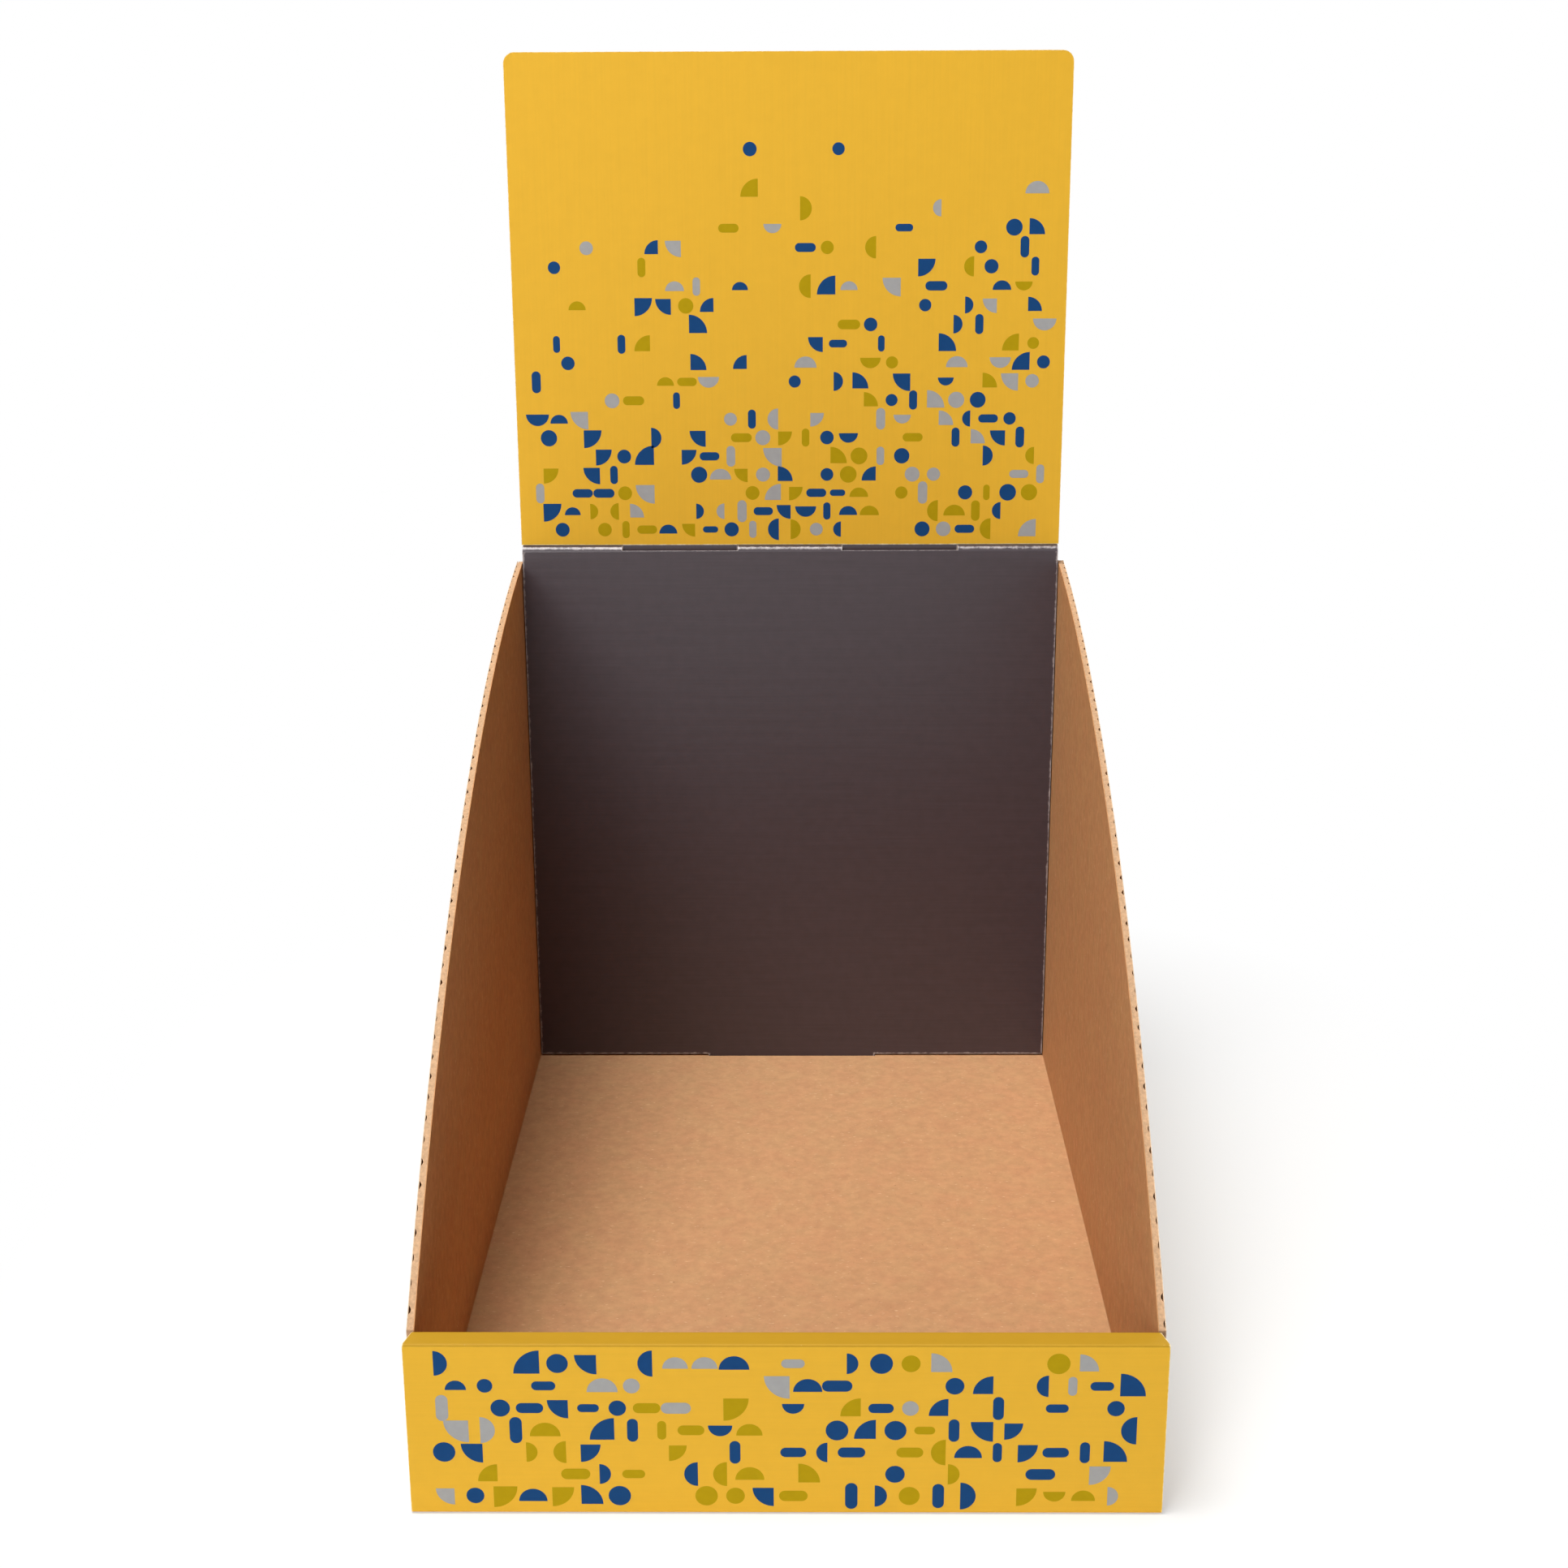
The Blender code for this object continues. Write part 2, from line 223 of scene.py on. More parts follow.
class PrintSettings(bpy.types.PropertyGroup):
    """Colours of the paper and the inks, and the scatter of the motifs."""

    yellow: a_colour("Yellow", "Ink that covers the outside and the header", "#e1ae30")
    # Painted shade: the lip's yellow is darker than the wall's, to paint shade on the lip's top
    ridge: a_colour("Lip yellow", "The same ink over the pressed lip, a shade deeper", "#b88d22")
    dark: a_colour("Dark", "Ink that covers the back's inner wall", "#41373d")
    navy: a_colour("Navy", "Ink of most motifs", "#174376")
    olive: a_colour("Olive", "Ink of some motifs", "#af930b")
    grey: a_colour("Grey", "Ink of a few motifs", "#a0a0a0")
    kraft: a_colour("Kraft", "Bare inner liner", "#c0936b")
    # Painted light: the upright boards' kraft is warmer than the floor's, standing in for warm light bounced
    # between the walls
    warm_kraft: a_colour("Warm kraft", "Bare liner of boards with upright flutes", "#c39063")
    medium: a_colour("Fluting", "Fluted middle ply", "#b18660")
    cut: a_colour("Cut edge", "Paper where a liner is cut", "#e6cdb0")
    crushed: a_colour("Crushed edge", "Flutes that are crushed together along a cut", "#d2a982")
    motif_step: a_length("Motif step", "Distance between neighbouring motifs", 10.0 * MM)
    motif_margin: a_length("Motif margin", "Width that a panel's motifs leave free", 10.0 * MM)
    motif_seed: bpy.props.IntProperty(
        name="Motif seed", description="Picks another scatter", default=7, min=0,
    )
    wall_density: a_share("Wall density", "Share of the places on the walls with a motif", 0.78)
    header_density: a_share("Header density", "The same at the header's foot", 0.66)
    header_bare: a_share("Header bare", "Height on the header where the motifs end", 0.9)
    header_slant: a_share("Header slant", "How much higher they climb on the right", 0.3)


class StageSettings(bpy.types.PropertyGroup):
    """Camera, lamps and floor."""

    camera_place: bpy.props.FloatVectorProperty(
        name="Camera", description="Where the camera stands", default=(0.0065, -0.8662, 0.4733),
        subtype="TRANSLATION", unit="LENGTH",
    )
    camera_pitch: an_angle("Pitch", "How far the camera looks down", radians(17.24))
    camera_yaw: an_angle("Yaw", "How far the camera turns to the left", radians(0.53))
    camera_roll: an_angle("Roll", "How far the camera leans", radians(-0.24))
    camera_lens: a_lens("Lens", "Focal length on a frame 36 mm wide", 51.8)
    key_power: a_power("Key", "Power of the soft lamp at the upper left", 63.5)
    front_power: a_power("Front", "Power of the soft lamp left of the camera", 11.5)
    side_power: a_power("Side", "Power of the low soft lamp on the right", 0.5)
    back_power: a_power("Back", "Power of the soft lamp behind on the right", 9.0)
    sky: a_strength("Sky", "Brightness of the even light all round", 0.03)
    floor: a_colour("Floor", "Pale paper that the display stands on", "#f4f3f1")


def board():
    """The board's settings."""
    return bpy.context.scene.display_board


def prints():
    """The print's settings."""
    return bpy.context.scene.display_print


def feed(tree, node, inputs):
    """Set a node's inputs; each takes a value, a socket, or a node, whose first output in use is linked."""
    in_use = {socket.name: socket for socket in node.inputs if socket.enabled}
    for key, value in inputs.items():
        socket = in_use[key] if key in in_use else node.inputs[key]
        if isinstance(value, bpy.types.Node):
            value = next(output for output in value.outputs if output.enabled)
        if isinstance(value, bpy.types.NodeSocket):
            tree.links.new(value, socket)
        else:
            socket.default_value = value


def add(tree, kind, inputs=None, **settings):
    """Add a node with its settings and its inputs."""
    made = tree.nodes.new(kind)
    for key, value in settings.items():
        setattr(made, key, value)
    feed(tree, made, inputs or {})
    return made


def per_mm(size):
    """Texture scale at which one feature is this many millimetres long."""
    return 1.0 / (size * MM)


def tint(colour, *shares):
    """A colour times one share, or times a share each for its red, green and blue."""
    each = shares * 3 if len(shares) == 1 else shares
    return tuple(c * share for c, share in zip(colour, each)) + (1.0,)


def new_material(name, roughness, shine=0.5):
    """A material, its tree, its shader, and the object coordinates that its patterns read."""
    material = bpy.data.materials.new(name)
    material.use_nodes = True
    tree = material.node_tree
    shader = tree.nodes["Principled BSDF"]
    feed(tree, shader, {"Roughness": roughness, "Specular IOR Level": shine})
    return material, tree, shader, add(tree, "ShaderNodeTexCoord").outputs["Object"]


def laid_over(tree, pattern, start, end, under, over, most=1.0):
    """One colour over another, from none where a pattern is at start to the most where it is at end."""
    share = add(tree, "ShaderNodeMapRange", {
        "Value": pattern, "From Min": start, "From Max": end, "To Max": most,
    })
    return add(tree, "ShaderNodeMix", {"Factor": share, "A": under, "B": over}, data_type="RGBA")


def streaks(tree, place, along, length, width, detail):
    """Noise that is drawn out along one axis, from its length and width in millimetres."""
    scale = [per_mm(length) if axis == along else per_mm(width) for axis in "XYZ"]
    drawn_out = add(tree, "ShaderNodeMapping", {"Vector": place, "Scale": scale})
    return add(tree, "ShaderNodeTexNoise", {"Vector": drawn_out, "Scale": 1.0, "Detail": detail})


def relief(tree, place, along, rib, pattern, grain):
    """The lie of a liner: a rib where each flute presses through it, and the grain of its own pattern."""
    axes = add(tree, "ShaderNodeSeparateXYZ", {"Vector": place})
    first, second = (axes.outputs[axis] for axis in "XYZ" if axis != along)
    across = add(tree, "ShaderNodeMath", {0: first, 1: second}, operation="ADD")
    turns = 2 * pi / board().flute_pitch
    angle = add(tree, "ShaderNodeMath", {0: across, 1: turns}, operation="MULTIPLY")
    wave = add(tree, "ShaderNodeMath", {0: angle}, operation="SINE")
    ribbed = add(tree, "ShaderNodeBump", {"Height": wave, "Distance": rib})
    return add(tree, "ShaderNodeBump", {"Height": pattern, "Distance": grain, "Normal": ribbed})


@cache
def kraft_liner(along):
    """Unbleached kraft liner, machine made and left bare.

    Matte brown paper, mottled and a little pinker or yellower from place to place, where its fibres bunch,
    with straw-pale fibre ends, a few dark specks, and a faint rib from each flute behind it.
    """
    name = "kraft liner, flutes along " + along.lower()
    material, tree, shader, place = new_material(name, roughness=0.9, shine=0.05)
    # Boards with upright flutes take the warmer kraft, which paints bounced light on the sides
    base = prints().warm_kraft if along == "Z" else prints().kraft
    mottle = add(tree, "ShaderNodeTexNoise", {
        "Vector": place, "Scale": per_mm(4.2), "Detail": 3.5, "Roughness": 0.6,
    })
    clouds = add(tree, "ShaderNodeTexNoise", {"Vector": place, "Scale": per_mm(11), "Detail": 3.0})
    fibres = streaks(tree, place, along, length=2.6, width=0.9, detail=1.0)
    grit = add(tree, "ShaderNodeTexNoise", {"Vector": place, "Scale": per_mm(1.5), "Detail": 2.0})

    tone = laid_over(tree, mottle, 0.32, 0.68, tint(base, 0.83), tint(base, 1.15))
    straw, pink = tint(base, 1.00, 1.05, 1.02), tint(base, 1.01, 0.94, 0.95)
    hue = laid_over(tree, clouds, 0.35, 0.65, straw, pink)
    paper = add(tree, "ShaderNodeMix", {"Factor": 0.5, "A": tone, "B": hue}, data_type="RGBA")
    fibred = laid_over(tree, fibres, 0.68, 0.80, paper, linear("#f0cfa8"), 0.5)
    flecked = laid_over(tree, grit, 0.69, 0.78, fibred, linear("#7a5233"), 0.45)

    felt = relief(tree, place, along, rib=0.02 * MM, pattern=mottle, grain=0.06 * MM)
    feed(tree, shader, {"Base Color": flecked, "Normal": felt})
    return material


@cache
def printed_liner(name, colour, along, roughness, shine, cloudy, worn_and_highlight_code):
    """Coated liner, printed all over and varnished.

    A smooth satin film: the ink is faintly mottled, the flutes show as soft ribs, and the paper shows pale
    where a cut edge or a fold has rubbed the print through. On the back roll the pale paper is partly a
    painted highlight.
    """
    material, tree, shader, place = new_material(name, roughness, shine)
    mottle = add(tree, "ShaderNodeTexNoise", {"Vector": place, "Scale": per_mm(5), "Detail": 4.0})
    lines = streaks(tree, place, along, length=40, width=0.9, detail=2.0)
    tone = add(tree, "ShaderNodeMath", {0: mottle, 1: lines}, operation="ADD")
    ink = laid_over(tree, tone, 0.7, 1.3, tint(colour, 1 - cloudy), tint(colour, 1 + cloudy))

    # Rubbed print shows the pale worn colour; on the back roll this pale colour is partly a painted
    # highlight
    wear = add(tree, "ShaderNodeAttribute", attribute_name="wear").outputs["Fac"]
    chips = add(tree, "ShaderNodeTexNoise", {
        "Vector": place, "Scale": per_mm(2.4), "Detail": 5.0, "Roughness": 0.7,
    })
    rubbed = add(tree, "ShaderNodeMath", {0: wear, 1: chips}, operation="ADD")
    surface = laid_over(tree, rubbed, 1.12, 1.44, ink, linear(worn_and_highlight_code))

    fine = add(tree, "ShaderNodeTexNoise", {"Vector": place, "Scale": per_mm(0.8), "Detail": 2.0})
    skin = relief(tree, place, along, rib=0.006 * MM, pattern=fine, grain=0.02 * MM)
    feed(tree, shader, {"Base Color": surface, "Normal": skin})
    return material


# Finishes of the printed liners: satin on the yellow ones, a smoother varnish on the dark ones
SATIN = {"roughness": 0.55, "shine": 0.15, "cloudy": 0.02, "worn_and_highlight_code": "#f3dfae"}
# The dark liner's pale worn colour serves its chipped edges and the back roll's painted highlight
SMOOTH = {"roughness": 0.34, "shine": 0.5, "cloudy": 0.09, "worn_and_highlight_code": "#aaa2a2"}


def yellow_liner(along):
    """Yellow print, satin, rubbed to a straw-pale paper."""
    name = "yellow printed liner, flutes along " + along.lower()
    return printed_liner(name, tuple(prints().yellow), along, **SATIN)


def lip_liner_painted_shade():
    """Yellow print over the lip, darker than the wall's: painted shade on the lip's top."""
    name = "yellow printed liner, pressed"
    return printed_liner(name, tuple(prints().ridge), "X", **SATIN)


def dark_liner(along):
    """Dark brown print under a smoother varnish, so it mirrors the floor and the room softly."""
    name = "dark printed liner, flutes along " + along.lower()
    return printed_liner(name, tuple(prints().dark), along, **SMOOTH)


@cache
def mottled(name, colour, roughness, shine, size, darkest, lightest):
    """One colour in soft clouds of this many millimetres, between its darkest and its lightest share."""
    material, tree, shader, place = new_material(name, roughness, shine)
    clouds = add(tree, "ShaderNodeTexNoise", {"Vector": place, "Scale": per_mm(size), "Detail": 4.0})
    mixed = add(tree, "ShaderNodeMix", {
        "Factor": clouds, "A": tint(colour, darkest), "B": tint(colour, lightest),
    }, data_type="RGBA")
    feed(tree, shader, {"Base Color": mixed})
    return material


def fluting_paper():
    """Recycled fluting medium: rough, dull brown, with a coarse cloudy formation."""
    return mottled(
        "fluting medium", tuple(prints().medium),
        roughness=0.92, shine=0.5, size=2.5, darkest=0.75, lightest=1.2,
    )


def ink_film(name):
    """Offset ink on the coated liner: one flat colour to the eye, faintly mottled under a satin varnish."""
    return mottled(
        name + " offset ink", tuple(getattr(prints(), name)),
        roughness=0.6, shine=0.05, size=3, darkest=0.92, lightest=1.08,
    )


@cache
def cut_paper(name, colour):
    """Die-cut edge of the board: pale, fuzzy paper with torn darker fibres."""
    material, tree, shader, place = new_material(name, roughness=0.9)
    fuzz = add(tree, "ShaderNodeTexNoise", {
        "Vector": place, "Scale": per_mm(1.2), "Detail": 5.0, "Roughness": 0.7,
    })
    paper = laid_over(tree, fuzz, 0.35, 0.65, tint(colour, 0.7), colour)
    lift = add(tree, "ShaderNodeBump", {"Height": fuzz, "Distance": 0.1 * MM})
    feed(tree, shader, {"Base Color": paper, "Normal": lift})
    return material


def cut_liner():
    """The cut edge of a liner."""
    return cut_paper("cut liner edge", tuple(prints().cut))


def crushed_board():
    """The flutes that the die has crushed together along a cut edge."""
    return cut_paper("crushed board edge", tuple(prints().crushed))


def flute_axis(panel):
    """World axis that a panel's flutes run along."""
    return "Z" if panel in FLUTES_UPRIGHT else "X"


def liner_sheet(panel, ink=yellow_liner):
    """The three materials of a printed liner: print, cut edge and bare back."""
    along = flute_axis(panel)
    return [ink(along), cut_liner(), kraft_liner(along)]


def blank(*attributes):
    """An empty mesh to draw on, and the layers of its points' attributes."""
    shape = bmesh.new()
    return shape, *(shape.verts.layers.float.new(name) for name in attributes)


def draft(shape, materials=()):
    """A new object of a drawn shape, which takes modifiers until it settles."""
    mesh = bpy.data.meshes.new("draft")
    shape.to_mesh(mesh)
    shape.free()
    for material in materials:
        mesh.materials.append(material)
    made = bpy.data.objects.new("draft", mesh)
    bpy.context.scene.collection.objects.link(made)
    return made


def settle(made, name, place):
    """Turn a draft with its modifiers into a plain mesh in its place."""
    bpy.context.view_layer.update()
    graph = bpy.context.evaluated_depsgraph_get()
    mesh = bpy.data.meshes.new_from_object(
        made.evaluated_get(graph), preserve_all_data_layers=True, depsgraph=graph,
    )
    bpy.data.objects.remove(made)
    if not mesh.polygons:
        raise RuntimeError(name + " came out empty")
    mesh.name = name
    mesh.transform(place)
    mesh.shade_smooth()
    mesh.set_sharp_from_angle(angle=SHARP_ANGLE)
    piece = bpy.data.objects.new(name, mesh)
    bpy.context.scene.collection.objects.link(piece)
    return piece


def settle_paper(shape, name, place, materials, thickness=LINER):
    """Give a drawn sheet its thickness behind its print; its materials are for the print, rim and back."""
    made = draft(shape, materials)
    solid = made.modifiers.new("thickness", "SOLIDIFY")
    solid.thickness = thickness
    solid.offset = -1.0
    solid.use_even_offset = True
    solid.material_offset_rim = 1
    solid.material_offset = 2
    return settle(made, name, place)


def carry(piece, body, slot, *nodes):
    """Let a piece ride on a body and stand for its solids, which are hidden."""
    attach(piece, body)
    if nodes:
        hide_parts(*nodes)


def neighbours(loop):
    """Each item of a closed loop with the next one."""
    return zip(loop, loop[1:] + loop[:1])


def face_outline(panel, ply):
    """Corners of a panel's outer face in its own plane, on its print liner or its kraft liner."""
    node = panel + "_" + ply
    flat = bmesh.new()
    flat.from_mesh(frame["nodes"][node].data)
    bmesh.ops.transform(flat, matrix=PLACES[panel].inverted(), verts=flat.verts)
    bmesh.ops.remove_doubles(flat, verts=flat.verts, dist=WELD)
    flat.normal_update()
    outwards = -1 if ply == "print" else 1
    faces = [face for face in flat.faces if face.normal.z * outwards > FACING]
    whole = bmesh.ops.dissolve_faces(flat, faces=faces)["region"]
    if len(whole) != 1:
        raise RuntimeError(node + " has no single outer face")
    points = [(v.co.x, v.co.y) for v in whole[0].verts]
    flat.free()
    return points


def drawn_back(outline, folds):
    """Draw an outline back from its folds; returns it with the numbers of the edges that run into a fold.

    A fold is the y of its crease, and the y that the flat paper is drawn back to.
    """
    moved = []
    on_fold = []
    for x, y in outline:
        hit = next((k for k, (line, _) in enumerate(folds) if abs(y - line) < SAME_PLACE), None)
        moved.append((x, y if hit is None else folds[hit][1]))
        on_fold.append(hit)
    creased = [k for k, (a, b) in enumerate(neighbours(on_fold)) if a is not None and a == b]
    return moved, creased


def sheet(name, place, outline, creased, materials, thickness=LINER, rim=None, worn_edge=1.0):
    """A flat sheet with a rim along its cut edges, where it is worn, down to nothing inside and at folds."""
    rim = rim or board().rim
    loop = []
    for k, corner in enumerate(outline):
        start, end = Vector(corner), Vector(outline[(k + 1) % len(outline)])
        cut = k not in creased or k - 1 not in creased
        loop.append((start, worn_edge if cut else 0.0))
        if k in creased:
            step = (end - start).normalized() * 2 * rim
            loop.append((start + step, 0.0))
            loop.append((end - step, 0.0))
    paper, wear = blank("wear")
    for point, worn in loop:
        paper.verts.new((point.x, point.y, PRINT_FACE))[wear] = worn
    face = paper.faces.new(paper.verts)
    face.normal_update()
    if face.normal.z > 0:
        face.normal_flip()
    outer = set(paper.verts)
    bmesh.ops.inset_region(paper, faces=[face], thickness=rim, use_boundary=True, use_even_offset=True)
    for vert in paper.verts:
        if vert not in outer:
            vert[wear] = 0.0
    return settle_paper(paper, name, place, materials, thickness)


def printed_panel(panel, folds, slot="yellow_print", ink=yellow_liner, **worn):
    """A panel's printed liner, drawn back from its folds; returns the outline of its solid."""
    node = panel + "_print"
    outline = face_outline(panel, "print")
    flat, creased = drawn_back(outline, folds)
    piece = sheet("print_" + panel, PLACES[panel], flat, creased, liner_sheet(panel, ink), **worn)
    carry(piece, BODY_OF[node], slot, node)
    return outline


def roll(name, place, profile, ends, row_wear_and_highlight, materials, slots=(), slot_rows=(0, 0)):
    """Printed paper that runs round one or more folds.

    profile lists the (y, z) of its rows, ends gives each row's two ends along x, and the third list each
    row's rubbing, which on the back roll is partly a painted highlight.
    The slots are ranges of x that are cut out between the two slot rows.
    """
    rim = board().rim
    inside = sorted(x for low, high in slots for x in (low - rim, low, high, high + rim))
    paper, wear = blank("wear")
    grid = []
    for k, ((y, z), (low, high), worn) in enumerate(zip(profile, ends, row_wear_and_highlight)):
        row = []
        for x in (low, low + rim, *inside, high - rim, high):
            vert = paper.verts.new((x, y, z))
            in_slot = any(a - SAME_PLACE < x < b + SAME_PLACE for a, b in slots)
            at_slot = in_slot and slot_rows[0] <= k <= slot_rows[1]
            vert[wear] = 1.0 if x in (low, high) or at_slot else worn
            row.append(vert)
        grid.append(row)
    for k, (row, above) in enumerate(zip(grid, grid[1:])):
        for a, b, c, d in zip(row, row[1:], above[1:], above):
            middle = (a.co.x + b.co.x) / 2
            cut_out = any(low < middle < high for low, high in slots)
            if not (cut_out and slot_rows[0] <= k < slot_rows[1]):
                paper.faces.new((a, d, c, b))
    return settle_paper(paper, name, place, materials)


def span(half):
    """Both ends of a row that is centred on its panel."""
    return -half, half


def quarter_roll(radius):
    """(y, z) rows round a fold in the folded panel's frame, from its parent's face to its own."""
    inner = radius - PRINT_FACE
    return [(radius - inner * cos(a), radius - inner * sin(a)) for a in ROLL_TURNS]


def wear_and_highlight_rows(most):
    """Wear over a quarter roll, which is most at its middle; on the back roll it is partly a painted
    highlight there.
    """
    return [most * sin(2 * a) for a in ROLL_TURNS]


def fold_strip(name, panel, radius, start, end, materials, *bodies):
    """The rounded print along one fold, from its first row's ends to its last's; it rides on a single body,
    and with two it stays baked in place.
    """
    place = PLACES[panel]
    ends = [tuple(a + (b - a) * share for a, b in zip(start, end)) for share in ROLL_SHARES]
    piece = roll(name, place, quarter_roll(radius), ends, wear_and_highlight_rows(board().fold_wear), materials)
    if len(bodies) == 1:
        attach(piece, *bodies)
    else:
        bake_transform(piece)


def kraft_crease(wall):
    """The bare liner that bends from the floor up into a side; it is baked in place."""
    place = PLACES[wall]
    radius = board().crease
    rows = [(BOARD + radius * (1 - sin(a)), BOARD + radius * (1 - cos(a))) for a in ROLL_TURNS]
    ends = [span(DEPTH / 2 - RIDGE_DEPTH - PLAY)] * len(rows)
    kraft = kraft_liner("X")
    piece = roll("crease_" + wall, place, rows, ends, [0.0] * len(rows), [kraft, cut_liner(), kraft])
    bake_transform(piece)


def new_tree(name, inputs, output):
    """A Geometry Nodes tree with named inputs, each with its kind; returns it with the inputs' sockets."""
    tree = bpy.data.node_groups.new(name, "GeometryNodeTree")
    for socket, kind in inputs.items():
        tree.interface.new_socket(socket, in_out="INPUT", socket_type="NodeSocket" + kind)
    tree.interface.new_socket(output, in_out="OUTPUT", socket_type="NodeSocketGeometry")
    return tree, add(tree, "NodeGroupInput").outputs


def grow(made, tree, values):
    """Put a Geometry Nodes tree on a draft, with its inputs set by their sockets' identifiers."""
    modifier = made.modifiers.new(tree.name, "NODES")
    modifier.node_group = tree
    for item in tree.interface.items_tree:
        if item.name in values:
            modifier[item.identifier] = values[item.name]


@cache
def fluting_tree(name, lowest):
    """Geometry Nodes that lift a mesh in a wave along its run, each wave a little unlike the next.

    Only the part of the sine above lowest lifts it. The attribute share says how much each point is lifted.
    """
    tree, given = new_tree(name, {
        "Paper": "Geometry", "Pitch": "Float", "Height": "Float", "Spread": "Float", "Seed": "Int",
        "Finish": "Material",
    }, "Waved")
    run = add(tree, "GeometryNodeInputNamedAttribute", {"Name": "run"}, data_type="FLOAT")
    lifted = add(tree, "GeometryNodeInputNamedAttribute", {"Name": "share"}, data_type="FLOAT")
    waves = add(tree, "ShaderNodeMath", {0: run, 1: given["Pitch"]}, operation="DIVIDE")
    number = add(tree, "ShaderNodeMath", {0: waves}, operation="FLOOR")
    least = add(tree, "ShaderNodeMath", {0: 1.0, 1: given["Spread"]}, operation="SUBTRACT")
    tall = add(tree, "FunctionNodeRandomValue", {
        "Min": least, "Max": 1.0, "ID": number, "Seed": given["Seed"],
    }, data_type="FLOAT")
    angle = add(tree, "ShaderNodeMath", {0: waves, 1: 2 * pi}, operation="MULTIPLY")
    wave = add(tree, "ShaderNodeMath", {0: angle}, operation="SINE")
    part = add(tree, "ShaderNodeMapRange", {"Value": wave, "From Min": lowest, "From Max": 1.0})
    lift = given["Height"]
    for factor in (tall, part, lifted):
        lift = add(tree, "ShaderNodeMath", {0: lift, 1: factor}, operation="MULTIPLY")
    offset = add(tree, "ShaderNodeCombineXYZ", {"Z": lift})
    moved = add(tree, "GeometryNodeSetPosition", {"Geometry": given["Paper"], "Offset": offset})
    real = add(tree, "GeometryNodeRealizeInstances", {"Geometry": moved})
    dressed = add(tree, "GeometryNodeSetMaterial", {"Geometry": real, "Material": given["Finish"]})
    add(tree, "NodeGroupOutput", {"Waved": dressed})
    return tree


def flute_span(outline, across, axis):
    """Where a line across the flutes enters and leaves an outline."""
    crossings = []
    for a, b in neighbours(outline):
        if min(a[axis], b[axis]) <= across <= max(a[axis], b[axis]) and a[axis] != b[axis]:
            share = (across - a[axis]) / (b[axis] - a[axis])
            crossings.append(a[1 - axis] + share * (b[1 - axis] - a[1 - axis]))
    return min(crossings), max(crossings)


def fluted_ply(panel, seed):
    """The fluted paper between a panel's two liners."""
    sizes = board()
    node = panel + "_fluting"
    if panel == "floor":
        low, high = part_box(node)
        outline = [(low.x, low.y), (high.x, low.y), (high.x, high.y), (low.x, high.y)]
    else:
        outline = face_outline(panel, "kraft")
    upright = panel in FLUTES_UPRIGHT
    axis = 0 if upright else 1
    first = min(p[axis] for p in outline) + SAME_PLACE
    last = max(p[axis] for p in outline) - SAME_PLACE
    count = max(2, round((last - first) / sizes.flute_pitch * FLUTE_SAMPLES))
    tall = BOARD - 2 * LINER - sizes.flute_sheet
    flat, run, share = blank("run", "share")
    rows = []
    for k in range(count + 1):
        across = first + (last - first) * k / count
        low, high = flute_span(outline, across, axis)
        ends = (low, high - FLUTES_SHORT * sizes.crush_depth) if upright else (-high, -low)
        rows.append([flat.verts.new((across, end, -tall / 2)) for end in ends])
        for vert in rows[-1]:
            vert[run] = across
            vert[share] = 1.0
    for (a, b), (d, c) in zip(rows, rows[1:]):
        flat.faces.new((a, d, c, b))
    made = draft(flat)
    grow(made, fluting_tree("fluted ply", -1.0), {
        "Pitch": sizes.flute_pitch, "Height": tall, "Spread": sizes.flute_spread, "Seed": seed,
        "Finish": fluting_paper(),
    })
    solid = made.modifiers.new("thickness", "SOLIDIFY")
    solid.thickness = sizes.flute_sheet
    solid.offset = 0.0
    turn = Matrix.Identity(4) if upright else Matrix.Rotation(pi / 2, 4, "Z")
    place = PLACES[panel] @ Matrix.Translation((0, 0, BOARD / 2)) @ turn
    carry(settle(made, "flutes_" + panel, place), BODY_OF[node], "fluting_medium", node)


def along_top(outline):
    """The part of an outline that runs round its top, without its foot's corners; inwards is on its left."""
    area = sum(a[0] * b[1] - b[0] * a[1] for a, b in neighbours(outline))
    points = outline if area > 0 else outline[::-1]
    foot = min(y for _, y in points) + SAME_PLACE
    last = next(k for k, (a, b) in enumerate(neighbours(points)) if a[1] < foot <= b[1])
    return [p for p in points[last + 1:] + points[:last + 1] if p[1] >= foot]


def stations(path, step):
    """Points spaced along a path, each with the direction there."""
    made = []
    for a, b in zip(path, path[1:]):
        start, end = Vector(a), Vector(b)
        count = max(1, round((end - start).length / step))
        made += [(start.lerp(end, k / count), (end - start).normalized()) for k in range(count)]
    made.append((Vector(path[-1]), made[-1][1]))
    return made


